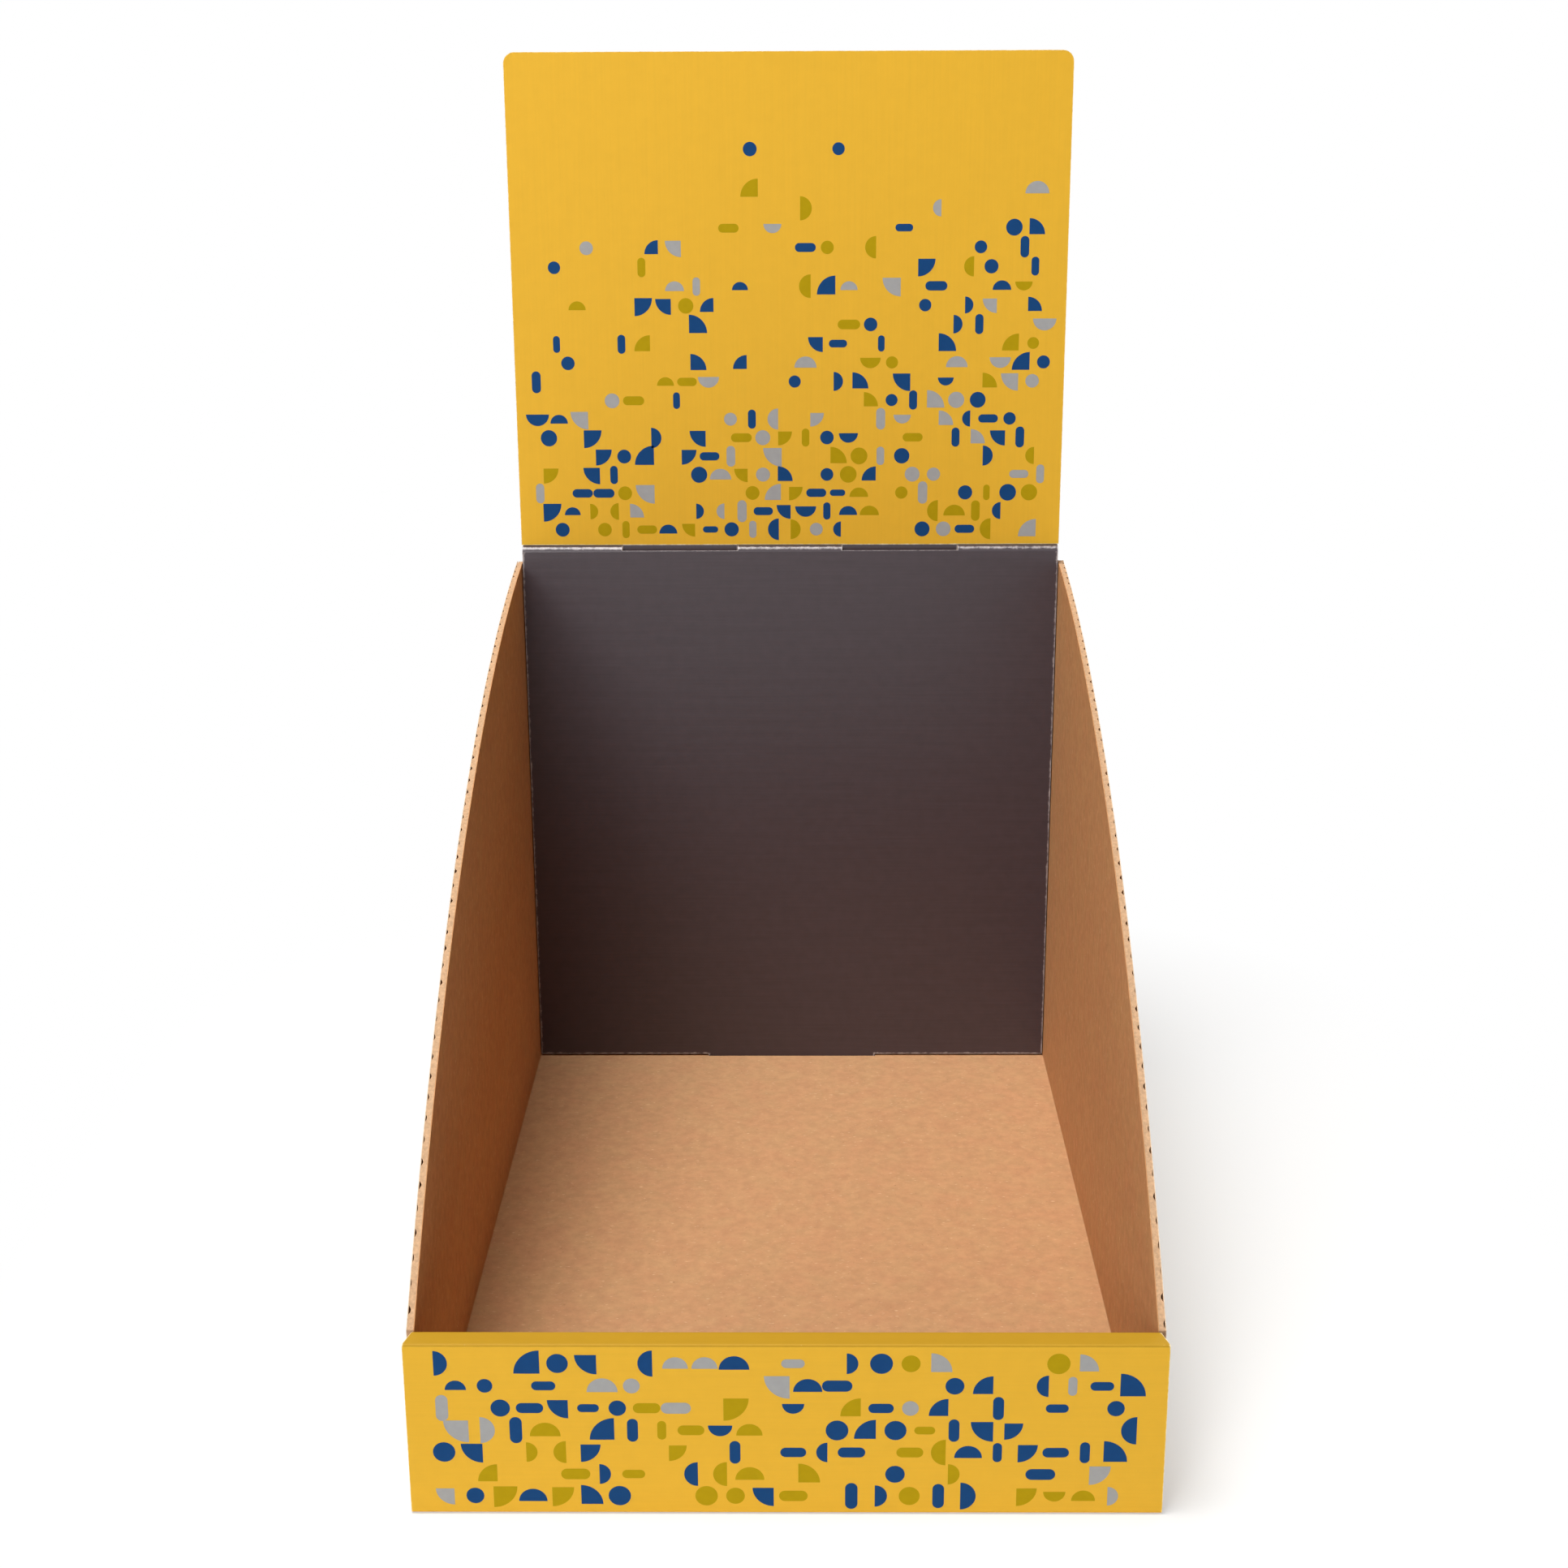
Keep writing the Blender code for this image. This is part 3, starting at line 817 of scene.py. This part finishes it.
def crushed_edge(panel, path, seed):
    """The flutes' ends along a cut edge, crushed together by the die but for a small pit at each flute."""
    sizes = board()
    flat, run, share = blank("run", "share")
    deep = sizes.crush_depth
    near, far = LINER + PRINT_FACE, BOARD - LINER
    section = ((EDGE_SUNK, near, 1.0), (EDGE_SUNK, far, 0.0), (deep, far, 0.0), (deep, near, 1.0))
    rings = []
    for point, direction in stations(path, sizes.flute_pitch / FLUTE_SAMPLES):
        inwards = Vector((-direction.y, direction.x))
        ring = []
        for depth, z, pitted in section:
            vert = flat.verts.new((*(point + inwards * depth), z))
            vert[run] = point.x
            vert[share] = pitted
            ring.append(vert)
        rings.append(ring)
    for ring, following in zip(rings, rings[1:]):
        for (a, b), (d, c) in zip(neighbours(ring), neighbours(following)):
            flat.faces.new((a, b, c, d))
    flat.faces.new(rings[0][::-1])
    flat.faces.new(rings[-1])
    bmesh.ops.recalc_face_normals(flat, faces=flat.faces)
    made = draft(flat)
    grow(made, fluting_tree("crushed edge", PITS_ABOVE), {
        "Pitch": sizes.flute_pitch, "Height": sizes.pit_depth, "Spread": sizes.pit_spread, "Seed": seed,
        "Finish": crushed_board(),
    })
    piece = settle(made, "edge_" + panel, PLACES[panel])
    carry(piece, BODY_OF[panel + "_print"], "fluting_medium")


class DISPLAY_OT_kraft_liners(bpy.types.Operator):
    """Give the bare inner liners of every board their kraft paper"""

    bl_idname = "display.kraft_liners"
    bl_label = "Kraft liners"

    def execute(self, context):
        for panel in BOARDS:
            node = frame["nodes"][panel + "_kraft"]
            node.material_slots[0].material = kraft_liner(flute_axis(panel))
        return {"FINISHED"}


class DISPLAY_OT_fluting(bpy.types.Operator):
    """Make the fluted middle ply of every board"""

    bl_idname = "display.fluting"
    bl_label = "Fluted plies"

    def execute(self, context):
        for seed, panel in enumerate(BOARDS):
            fluted_ply(panel, seed)
        return {"FINISHED"}


class DISPLAY_OT_cut_edges(bpy.types.Operator):
    """Make the crushed cut edges along the sides' swept tops and the header's top"""

    bl_idname = "display.cut_edges"
    bl_label = "Cut edges"

    def execute(self, context):
        for seed, panel in enumerate(("left_side", "right_side")):
            crushed_edge(panel, along_top(face_outline(panel, "kraft")), seed)
        card = face_outline("header", "kraft")
        top = max(y for _, y in card)
        level = max(y for x, y in card if x > HEADER_HIGH.x - SAME_PLACE)
        crushed_edge("header", [p for p in along_top(card) if p[1] > (level + top) / 2], 2)
        return {"FINISHED"}


class DISPLAY_OT_floor_liner(bpy.types.Operator):
    """Make the floor's printed underside, with the slot for the lock tab"""

    bl_idname = "display.floor_liner"
    bl_label = "Floor liner"

    def execute(self, context):
        radius = board().floor_fold
        deep = DEPTH / 2 - radius
        # The slot's corners are those well inside the floor's own
        inside = [c for c in corners("floor_print") if abs(c.x) < WIDTH / 4]
        slot = span(max(c.x for c in inside))
        slot_rows = sorted({round(c.y, 5) for c in inside})
        profile = [(y, PRINT_FACE) for y in (-deep, *slot_rows, deep)]
        ends = [span(WIDTH / 2 - radius)] * len(profile)
        piece = roll(
            "print_floor", PLACES["floor"], profile, ends, [0.0] * len(profile), liner_sheet("floor"),
            [slot], (1, 2),
        )
        carry(piece, "tray", "yellow_print", "floor_print")
        return {"FINISHED"}


class DISPLAY_OT_front(bpy.types.Operator):
    """Make the front's printed wall, lip and inner wall, and the folds between them"""

    bl_idname = "display.front"
    bl_label = "Front wall and lip"

    def execute(self, context):
        sizes = board()
        near, far = sizes.lip_fold, RIDGE_DEPTH - sizes.lip_inner_fold
        half = WIDTH / 2
        near_half, far_half = (half - LIP_MITRE * y / RIDGE_DEPTH for y in (near, far))
        printed_panel("front_wall", [(0.0, sizes.floor_fold), (FRONT_HEIGHT, FRONT_HEIGHT - near)])
        printed_panel("front_inner", [(0.0, sizes.lip_inner_fold)])

        # The lip and the folds beside it take the darker yellow, which paints shade on them
        pressed = [lip_liner_painted_shade(), cut_liner(), kraft_liner("X")]
        strip = [(-near_half, near), (near_half, near), (far_half, far), (-far_half, far)]
        lip = sheet("front_lip", PLACES["front_ridge"], strip, [0, 2], pressed, BOARD - LINER)
        carry(lip, "front_ridge", "yellow_ridge", "front_ridge")

        for name, radius, start, end, paper, parent, panel in (
            ("foot", sizes.floor_fold, half, half, liner_sheet("floor"), "tray", "front_wall"),
            ("lip", sizes.lip_fold, half, near_half, pressed, "front_wall", "front_ridge"),
            ("lip_inner", sizes.lip_inner_fold, far_half, INNER_HALF, pressed, "front_ridge", "front_inner"),
        ):
            fold_strip("fold_front_" + name, panel, radius, span(start), span(end), paper, parent, panel)
        return {"FINISHED"}


class DISPLAY_OT_back(bpy.types.Operator):
    """Make the back's outer wall, its slotted ridge and the dark inner wall that rolls over it"""

    bl_idname = "display.back"
    bl_label = "Back wall and ridge"

    def execute(self, context):
        sizes = board()
        printed_panel("back_wall", [(0.0, sizes.floor_fold), (BACK_HEIGHT, BACK_HEIGHT - sizes.back_fold)])
        printed_panel(
            "back_inner", [(0.0, sizes.back_roll)], "dark_print", dark_liner,
            rim=sizes.chipped_rim, worn_edge=sizes.chipping,
        )
        self.ridge(sizes)
        whole, paper = span(WIDTH / 2), liner_sheet("floor")
        fold_strip("fold_back_foot", "back_wall", sizes.floor_fold, whole, whole, paper, "tray")
        return {"FINISHED"}

    def ridge(self, sizes):
        """The print over the ridge, from one wall's top to the other's, and the pressed board under it."""
        slots = [(-SLOT_FAR, -SLOT_NEAR), (SLOT_NEAR, SLOT_FAR)]
        slot_start = BOARD
        outer = quarter_roll(sizes.back_fold)
        over = [(RIDGE_DEPTH - y, z) for y, z in reversed(quarter_roll(sizes.back_roll))]
        profile = [*outer, (slot_start - sizes.rim, PRINT_FACE), (slot_start, PRINT_FACE), *over]
        # The back roll's rows are palest at its middle: partly rubbed print, partly a painted highlight
        row_wear_and_highlight = [*wear_and_highlight_rows(sizes.ridge_wear), 0.0, 0.0, *wear_and_highlight_rows(sizes.roll_wear)]
        piece = roll(
            "print_back_ridge", PLACES["back_ridge"], profile, [span(INNER_HALF)] * len(profile), row_wear_and_highlight,
            liner_sheet("back_inner", dark_liner), slots, (len(outer) + 1, len(profile) - 2),
        )
        carry(piece, "tray", "dark_print", "back_ridge")

        near, far = sizes.back_fold, RIDGE_DEPTH - sizes.back_roll
        notched = [(-INNER_HALF, near), (INNER_HALF, near), (INNER_HALF, far)]
        for low, high in reversed(slots):
            notched += [(high, far), (high, slot_start), (low, slot_start), (low, far)]
        notched.append((-INNER_HALF, far))
        kraft = kraft_liner("X")
        core = sheet(
            "ridge_board", PLACES["back_ridge"] @ Matrix.Translation((0, 0, LINER)), notched, (),
            [kraft, cut_liner(), kraft], BOARD - 2 * LINER,
        )
        carry(core, "tray", "kraft_liner")


class DISPLAY_OT_sides(bpy.types.Operator):
    """Make the two sides' printed liners, their tuck flaps and the folds that join them to the floor"""

    bl_idname = "display.sides"
    bl_label = "Side walls and flaps"

    def execute(self, context):
        sizes = board()
        long, paper = span(SIDE_END), liner_sheet("floor")
        for name in ("left", "right"):
            wall = name + "_side"
            printed_panel(wall, [(0.0, sizes.floor_fold)])
            fold_strip("fold_" + wall, wall, sizes.floor_fold, long, long, paper, "tray", wall)
            kraft_crease(wall)
            for end in ("front", "back"):
                self.flap(name + "_" + end + "_flap", wall, sizes)
        return {"FINISHED"}

    def flap(self, panel, wall, sizes):
        """One tuck flap and its fold."""
        outline = printed_panel(panel, [(0.0, sizes.flap_fold)])
        on_crease = [x for x, y in outline if abs(y) < SAME_PLACE]
        ends = (min(on_crease), max(on_crease))
        body = BODY_OF[panel + "_print"]
        bodies = (wall,) if body == wall else (wall, body)
        fold_strip("fold_" + panel, panel, sizes.flap_fold, ends, ends, liner_sheet(panel), *bodies)


class DISPLAY_OT_header(bpy.types.Operator):
    """Make the header card's printed face, and its two tabs, which are printed dark"""

    bl_idname = "display.header"
    bl_label = "Header card"

    def execute(self, context):
        outline = face_outline("header", "print")
        card = [(x, y) for x, y in outline if y > -SAME_PLACE and (y > SAME_PLACE or abs(x) > SLOT_FAR)]
        piece = sheet("print_header", PLACES["header"], card, (), liner_sheet("header"))
        carry(piece, "header", "yellow_print", "header_print")
        for name, side in (("left", 1), ("right", -1)):
            tab = [(x, y) for x, y in outline if y < SAME_PLACE and 0 < x * side < SLOT_FAR]
            paper = liner_sheet("header", dark_liner)
            piece = sheet("print_header_tab_" + name, PLACES["header"], tab, (), paper)
            carry(piece, "header", "dark_print")
        return {"FINISHED"}


# Motifs stand on staggered rows; each ink takes a share of them, and each motif a size in steps
ROW_SHARE = sqrt(3) / 2
INK_SHARES = {"Navy": (0.0, 0.56), "Olive": (0.56, 0.82), "Grey": (0.82, 1.01)}
MOTIF_SIZES = (0.74, 1.1)

# How far apart the seeds of two panels lie, and those of two picks on one panel
PANEL_SEED_STEP = 1000
PICK_SEED_STEP = 101.0

# On the walls the motifs get hardly fewer with height: they would end at many times the wall's height
WALL_BARE = 9.0


@cache
def motif_tree():
    """Geometry Nodes that scatter discs, parts of discs and short bars on staggered rows.

    They get fewer with height, from the density at the foot to none at the height Bare from, a share of the
    whole. A slant lets them climb higher on one side.
    """
    inputs = dict.fromkeys(("Columns", "Rows", "Seed"), "Int")
    inputs |= dict.fromkeys(("Wide", "Tall", "Step", "Density at foot", "Bare from", "Slant"), "Float")
    inputs |= dict.fromkeys(INK_SHARES, "Material")
    tree, given = new_tree("printed motifs", inputs, "Motifs")

    # Rows of points, moved a quarter step to one side and to the other in turn
    grid = add(tree, "GeometryNodeMeshGrid", {
        "Size X": given["Wide"], "Size Y": given["Tall"],
        "Vertices X": given["Columns"], "Vertices Y": given["Rows"],
    })
    row = add(tree, "ShaderNodeMath", {
        0: add(tree, "GeometryNodeInputIndex"), 1: given["Rows"],
    }, operation="MODULO")
    odd = add(tree, "ShaderNodeMath", {0: row, 1: 2.0}, operation="MODULO")
    aside = add(tree, "ShaderNodeMath", {0: odd, 1: 0.5, 2: -0.25}, operation="MULTIPLY_ADD")
    shift = add(tree, "ShaderNodeMath", {0: aside, 1: given["Step"]}, operation="MULTIPLY")
    offset = add(tree, "ShaderNodeCombineXYZ", {"X": shift})
    spots = add(tree, "GeometryNodeSetPosition", {"Geometry": grid, "Offset": offset})

    # Share of the points that hold a motif
    axes = add(tree, "ShaderNodeSeparateXYZ", {"Vector": add(tree, "GeometryNodeInputPosition")}).outputs
    up = add(tree, "ShaderNodeMath", {0: axes["Y"], 1: given["Tall"]}, operation="DIVIDE")
    height = add(tree, "ShaderNodeMath", {0: up, 1: 0.5}, operation="ADD")
    across = add(tree, "ShaderNodeMath", {0: axes["X"], 1: given["Wide"]}, operation="DIVIDE")
    slant = add(tree, "ShaderNodeMath", {0: across, 1: given["Slant"]}, operation="MULTIPLY")
    level = add(tree, "ShaderNodeMath", {0: height, 1: slant}, operation="SUBTRACT")
    density = add(tree, "ShaderNodeMapRange", {
        "Value": level, "From Min": 0.0, "From Max": given["Bare from"],
        "To Min": given["Density at foot"], "To Max": 0.0,
    })

    # Motifs, drawn at the size of one step
    box = add(tree, "GeometryNodeCurvePrimitiveQuadrilateral", {"Width": 0.96, "Height": 0.4})
    half_disc = add(tree, "GeometryNodeCurveArc", {"Resolution": 19, "Radius": 0.49, "Sweep Angle": pi})
    disc = add(tree, "GeometryNodeCurvePrimitiveCircle", {"Resolution": 24, "Radius": 0.36})
    bar = add(tree, "GeometryNodeFilletCurve", {"Curve": box, "Radius": 0.199, "Count": 6}, mode="POLY")
    quarter_disc = add(tree, "GeometryNodeCurveArc", {
        "Resolution": 13, "Radius": 0.82, "Start Angle": 0.0, "Sweep Angle": pi / 2, "Connect Center": True,
    })
    shapes = add(tree, "GeometryNodeJoinGeometry")
    for outline, centre in (
        (half_disc, (0, -0.22, 0)), (disc, (0, 0, 0)), (bar, (0, 0, 0)), (quarter_disc, (-0.36, -0.36, 0)),
    ):
        closed = add(tree, "GeometryNodeSetSplineCyclic", {"Geometry": outline, "Cyclic": True})
        filled = add(tree, "GeometryNodeFillCurve", {"Curve": closed})
        centred = add(tree, "GeometryNodeTransform", {"Geometry": filled, "Translation": centre})
        feed(tree, shapes, {"Geometry": add(tree, "GeometryNodeGeometryToInstance", {"Geometry": centred})})

    # What stands on each point, picked at random from the seed
    picks = []
    for number, (kind, low, high) in enumerate((
        ("FLOAT", 0.0, 1.0), ("FLOAT", 0.0, 1.0), ("INT", 0, 3), ("INT", 0, 3), ("FLOAT", *MOTIF_SIZES),
    )):
        seed = add(tree, "ShaderNodeMath", {0: given["Seed"], 1: number * PICK_SEED_STEP}, operation="ADD")
        picks.append(add(
            tree, "FunctionNodeRandomValue", {"Min": low, "Max": high, "Seed": seed}, data_type=kind,
        ))
    keep, ink, shape, quarter, scale = picks
    kept = add(tree, "FunctionNodeCompare", {"A": keep, "B": density}, operation="LESS_THAN")
    turn = add(tree, "ShaderNodeMath", {0: quarter, 1: pi / 2}, operation="MULTIPLY")
    angles = add(tree, "ShaderNodeCombineXYZ", {"Z": turn})
    rotation = add(tree, "FunctionNodeEulerToRotation", {"Euler": angles})
    size = add(tree, "ShaderNodeMath", {0: scale, 1: given["Step"]}, operation="MULTIPLY")
    sizes = add(tree, "ShaderNodeCombineXYZ", {"X": size, "Y": size, "Z": 1.0})

    # The motifs of each ink
    whole = add(tree, "GeometryNodeJoinGeometry")
    for name, (low, high) in INK_SHARES.items():
        above = add(tree, "FunctionNodeCompare", {"A": ink, "B": low}, operation="GREATER_EQUAL")
        below = add(tree, "FunctionNodeCompare", {"A": ink, "B": high}, operation="LESS_THAN")
        inked = add(tree, "FunctionNodeBooleanMath", {0: above, 1: below})
        stood = add(tree, "GeometryNodeInstanceOnPoints", {
            "Points": spots, "Selection": add(tree, "FunctionNodeBooleanMath", {0: inked, 1: kept}),
            "Instance": shapes, "Pick Instance": True, "Instance Index": shape,
            "Rotation": rotation, "Scale": sizes,
        })
        real = add(tree, "GeometryNodeRealizeInstances", {"Geometry": stood})
        feed(tree, whole, {
            "Geometry": add(tree, "GeometryNodeSetMaterial", {"Geometry": real, "Material": given[name]}),
        })
    add(tree, "NodeGroupOutput", {"Motifs": whole})
    return tree


class DISPLAY_OT_motifs(bpy.types.Operator):
    """Print the motifs on the header, the front wall and the foot of the sides"""

    bl_idname = "display.motifs"
    bl_label = "Printed motifs"

    def execute(self, context):
        ink = prints()
        on_header = (ink.header_density, ink.header_bare, ink.header_slant)
        on_walls = (ink.wall_density, WALL_BARE, 0.0)
        deep = 2 * (SIDE_END - RIDGE_DEPTH)
        for number, (panel, wide, tall, fade) in enumerate((
            ("header", 2 * HEADER_HIGH.x, HEADER_HIGH.z - HEADER_FOOT, on_header),
            ("front_wall", WIDTH, FRONT_HEIGHT, on_walls),
            ("left_side", deep, FRONT_HEIGHT, on_walls),
            ("right_side", deep, FRONT_HEIGHT, on_walls),
        )):
            self.scatter(panel, wide, tall, fade, number)
        return {"FINISHED"}

    def scatter(self, panel, wide, tall, fade, number):
        """Motifs over one panel, clear of its edges; fade gives their density, bare height and slant."""
        ink = prints()
        step = ink.motif_step
        columns = int((wide - ink.motif_margin) / step)
        rows = int(tall / (step * ROW_SHARE))
        density, bare_from, slant = fade
        made = draft(bmesh.new())
        grow(made, motif_tree(), {
            "Columns": columns, "Rows": rows, "Seed": ink.motif_seed + PANEL_SEED_STEP * number,
            "Wide": (columns - 1) * step, "Tall": (rows - 1) * step * ROW_SHARE, "Step": step,
            "Density at foot": density, "Bare from": bare_from, "Slant": slant,
            **{name: ink_film(name.lower()) for name in INK_SHARES},
        })
        turned_over = Matrix.Rotation(pi, 4, "Y")
        place = PLACES[panel] @ Matrix.Translation((0, tall / 2, INK_FACE)) @ turned_over
        carry(settle(made, "motifs_" + panel, place), BODY_OF[panel + "_print"], "yellow_print")


# Each lamp's width, where it hangs and what it is aimed at
LAMPS = {
    "key": (1.15, (-0.46, -0.42, 2.28), (0.0, 0.0, 0.1)),
    "front": (0.5, (-0.70, -1.80, 0.62), (0.0, 0.1, 0.2)),
    "side": (0.2, (1.20, -0.80, 0.12), (-0.1, -0.1, 0.08)),
    "back": (0.8, (1.20, 1.40, 0.55), (0.0, 0.1, 0.2)),
}

# Half the floor's width, its gap below the tray, how far the shadow shows, and the white in it at its start
FLOOR_HALF = 6.0
FLOOR_GAP = 0.2 * MM
SHADOW_REACH = 0.2
SHADOW_WHITE = 0.45
WHITE = (1, 1, 1, 1)


def background_rays(tree):
    """1 on the rays that show a background: the camera's, and those of gloss and glass."""
    path = add(tree, "ShaderNodeLightPath").outputs
    seen = add(tree, "ShaderNodeMath", {
        0: path["Is Camera Ray"], 1: path["Is Glossy Ray"],
    }, operation="MAXIMUM")
    return add(tree, "ShaderNodeMath", {0: seen, 1: path["Is Transmission Ray"]}, operation="MAXIMUM")


class DISPLAY_OT_stage(bpy.types.Operator):
    """Set the floor, the lamps, the sky and the camera"""

    bl_idname = "display.stage"
    bl_label = "Stage"

    def execute(self, context):
        settings = context.scene.display_stage
        self.floor(settings)
        self.sky(context, settings)
        for name in LAMPS:
            self.lamp(context, name, getattr(settings, name + "_power"))
        self.camera(context, settings)
        context.scene.view_settings.view_transform = "Standard"
        return {"FINISHED"}

    def floor(self, settings):
        """A pale paper floor that keeps the shadow near the display and is plain white further off."""
        flat = bmesh.new()
        bmesh.ops.create_grid(flat, x_segments=2, y_segments=2, size=FLOOR_HALF)
        bmesh.ops.translate(flat, verts=flat.verts, vec=(0, 0, -FLOOR_GAP))
        material, tree, shader, place = new_material("matte paper floor", roughness=0.9)
        floor = draft(flat, [material])
        floor.name = "stage_floor"
        feed(tree, shader, {"Base Color": tuple(settings.floor)})
        mirrored = add(tree, "ShaderNodeVectorMath", {0: place}, operation="ABSOLUTE")
        foot = (WIDTH / 2, DEPTH / 2, 1.0)
        beyond = add(tree, "ShaderNodeVectorMath", {0: mirrored, 1: foot}, operation="SUBTRACT")
        outside = add(tree, "ShaderNodeVectorMath", {0: beyond, 1: (0, 0, 0)}, operation="MAXIMUM")
        away = add(tree, "ShaderNodeVectorMath", {0: outside}, operation="LENGTH")
        fade = add(tree, "ShaderNodeMapRange", {
            "Value": away, "From Min": 0.0, "From Max": SHADOW_REACH, "To Min": SHADOW_WHITE, "To Max": 1.0,
        })
        far = add(tree, "ShaderNodeMath", {0: fade, 1: background_rays(tree)}, operation="MULTIPLY")
        white = add(tree, "ShaderNodeEmission", {"Color": WHITE, "Strength": 1.0})
        mixed = add(tree, "ShaderNodeMixShader", {0: far, 1: shader, 2: white})
        feed(tree, tree.nodes["Material Output"], {"Surface": mixed})

    def sky(self, context, settings):
        """Even light all round, which the camera and gloss see as white."""
        world = bpy.data.worlds.new("studio")
        context.scene.world = world
        world.use_nodes = True
        tree = world.node_tree
        tree.nodes.clear()
        light = add(tree, "ShaderNodeBackground", {"Color": WHITE, "Strength": settings.sky})
        white = add(tree, "ShaderNodeBackground", {"Color": WHITE, "Strength": 1.0})
        mixed = add(tree, "ShaderNodeMixShader", {0: background_rays(tree), 1: light, 2: white})
        add(tree, "ShaderNodeOutputWorld", {"Surface": mixed})

    def lamp(self, context, name, power):
        """A square soft lamp."""
        size, place, aim = LAMPS[name]
        data = bpy.data.lights.new(name, "AREA")
        data.energy = power
        data.size = size
        lamp = bpy.data.objects.new(name, data)
        lamp.location = place
        lamp.rotation_euler = (Vector(aim) - Vector(place)).to_track_quat("-Z", "Y").to_euler()
        context.scene.collection.objects.link(lamp)

    def camera(self, context, settings):
        """The photograph's view."""
        data = bpy.data.cameras.new("camera")
        data.lens = settings.camera_lens
        camera = bpy.data.objects.new("camera", data)
        camera.matrix_world = (
            Matrix.Translation(settings.camera_place)
            @ Matrix.Rotation(settings.camera_yaw, 4, "Z")
            @ Matrix.Rotation(pi / 2 - settings.camera_pitch, 4, "X")
            @ Matrix.Rotation(settings.camera_roll, 4, "Z")
        )
        context.scene.collection.objects.link(camera)
        context.scene.camera = camera


STEPS = (
    DISPLAY_OT_kraft_liners, DISPLAY_OT_fluting, DISPLAY_OT_cut_edges, DISPLAY_OT_floor_liner,
    DISPLAY_OT_front, DISPLAY_OT_back, DISPLAY_OT_sides, DISPLAY_OT_header, DISPLAY_OT_motifs,
    DISPLAY_OT_stage,
)


class DISPLAY_PT_panel(bpy.types.Panel):
    """Lists the steps that dress the display, with their settings"""

    bl_idname = "DISPLAY_PT_panel"
    bl_label = "Counter display"
    bl_space_type = "VIEW_3D"
    bl_region_type = "UI"
    bl_category = "Display"

    def draw(self, context):
        scene = context.scene
        for group in (scene.display_board, scene.display_print, scene.display_stage):
            column = self.layout.column()
            for name in group.bl_rna.properties.keys():
                if name not in ("rna_type", "name"):
                    column.prop(group, name)
        for step in STEPS:
            self.layout.operator(step.bl_idname)


CLASSES = (BoardSettings, PrintSettings, StageSettings, *STEPS, DISPLAY_PT_panel)


def register():
    """Register the classes and hang their settings on the scene."""
    for item in CLASSES:
        bpy.utils.register_class(item)
    bpy.types.Scene.display_board = bpy.props.PointerProperty(type=BoardSettings)
    bpy.types.Scene.display_print = bpy.props.PointerProperty(type=PrintSettings)
    bpy.types.Scene.display_stage = bpy.props.PointerProperty(type=StageSettings)


def unregister():
    """Take the settings and the classes away again."""
    del bpy.types.Scene.display_stage
    del bpy.types.Scene.display_print
    del bpy.types.Scene.display_board
    for item in reversed(CLASSES):
        bpy.utils.unregister_class(item)


def main():
    """Register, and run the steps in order."""
    register()
    bpy.ops.display.kraft_liners()
    bpy.ops.display.fluting()
    bpy.ops.display.cut_edges()
    bpy.ops.display.floor_liner()
    bpy.ops.display.front()
    bpy.ops.display.back()
    bpy.ops.display.sides()
    bpy.ops.display.header()
    bpy.ops.display.motifs()
    bpy.ops.display.stage()


if __name__ == "__main__":
    main()
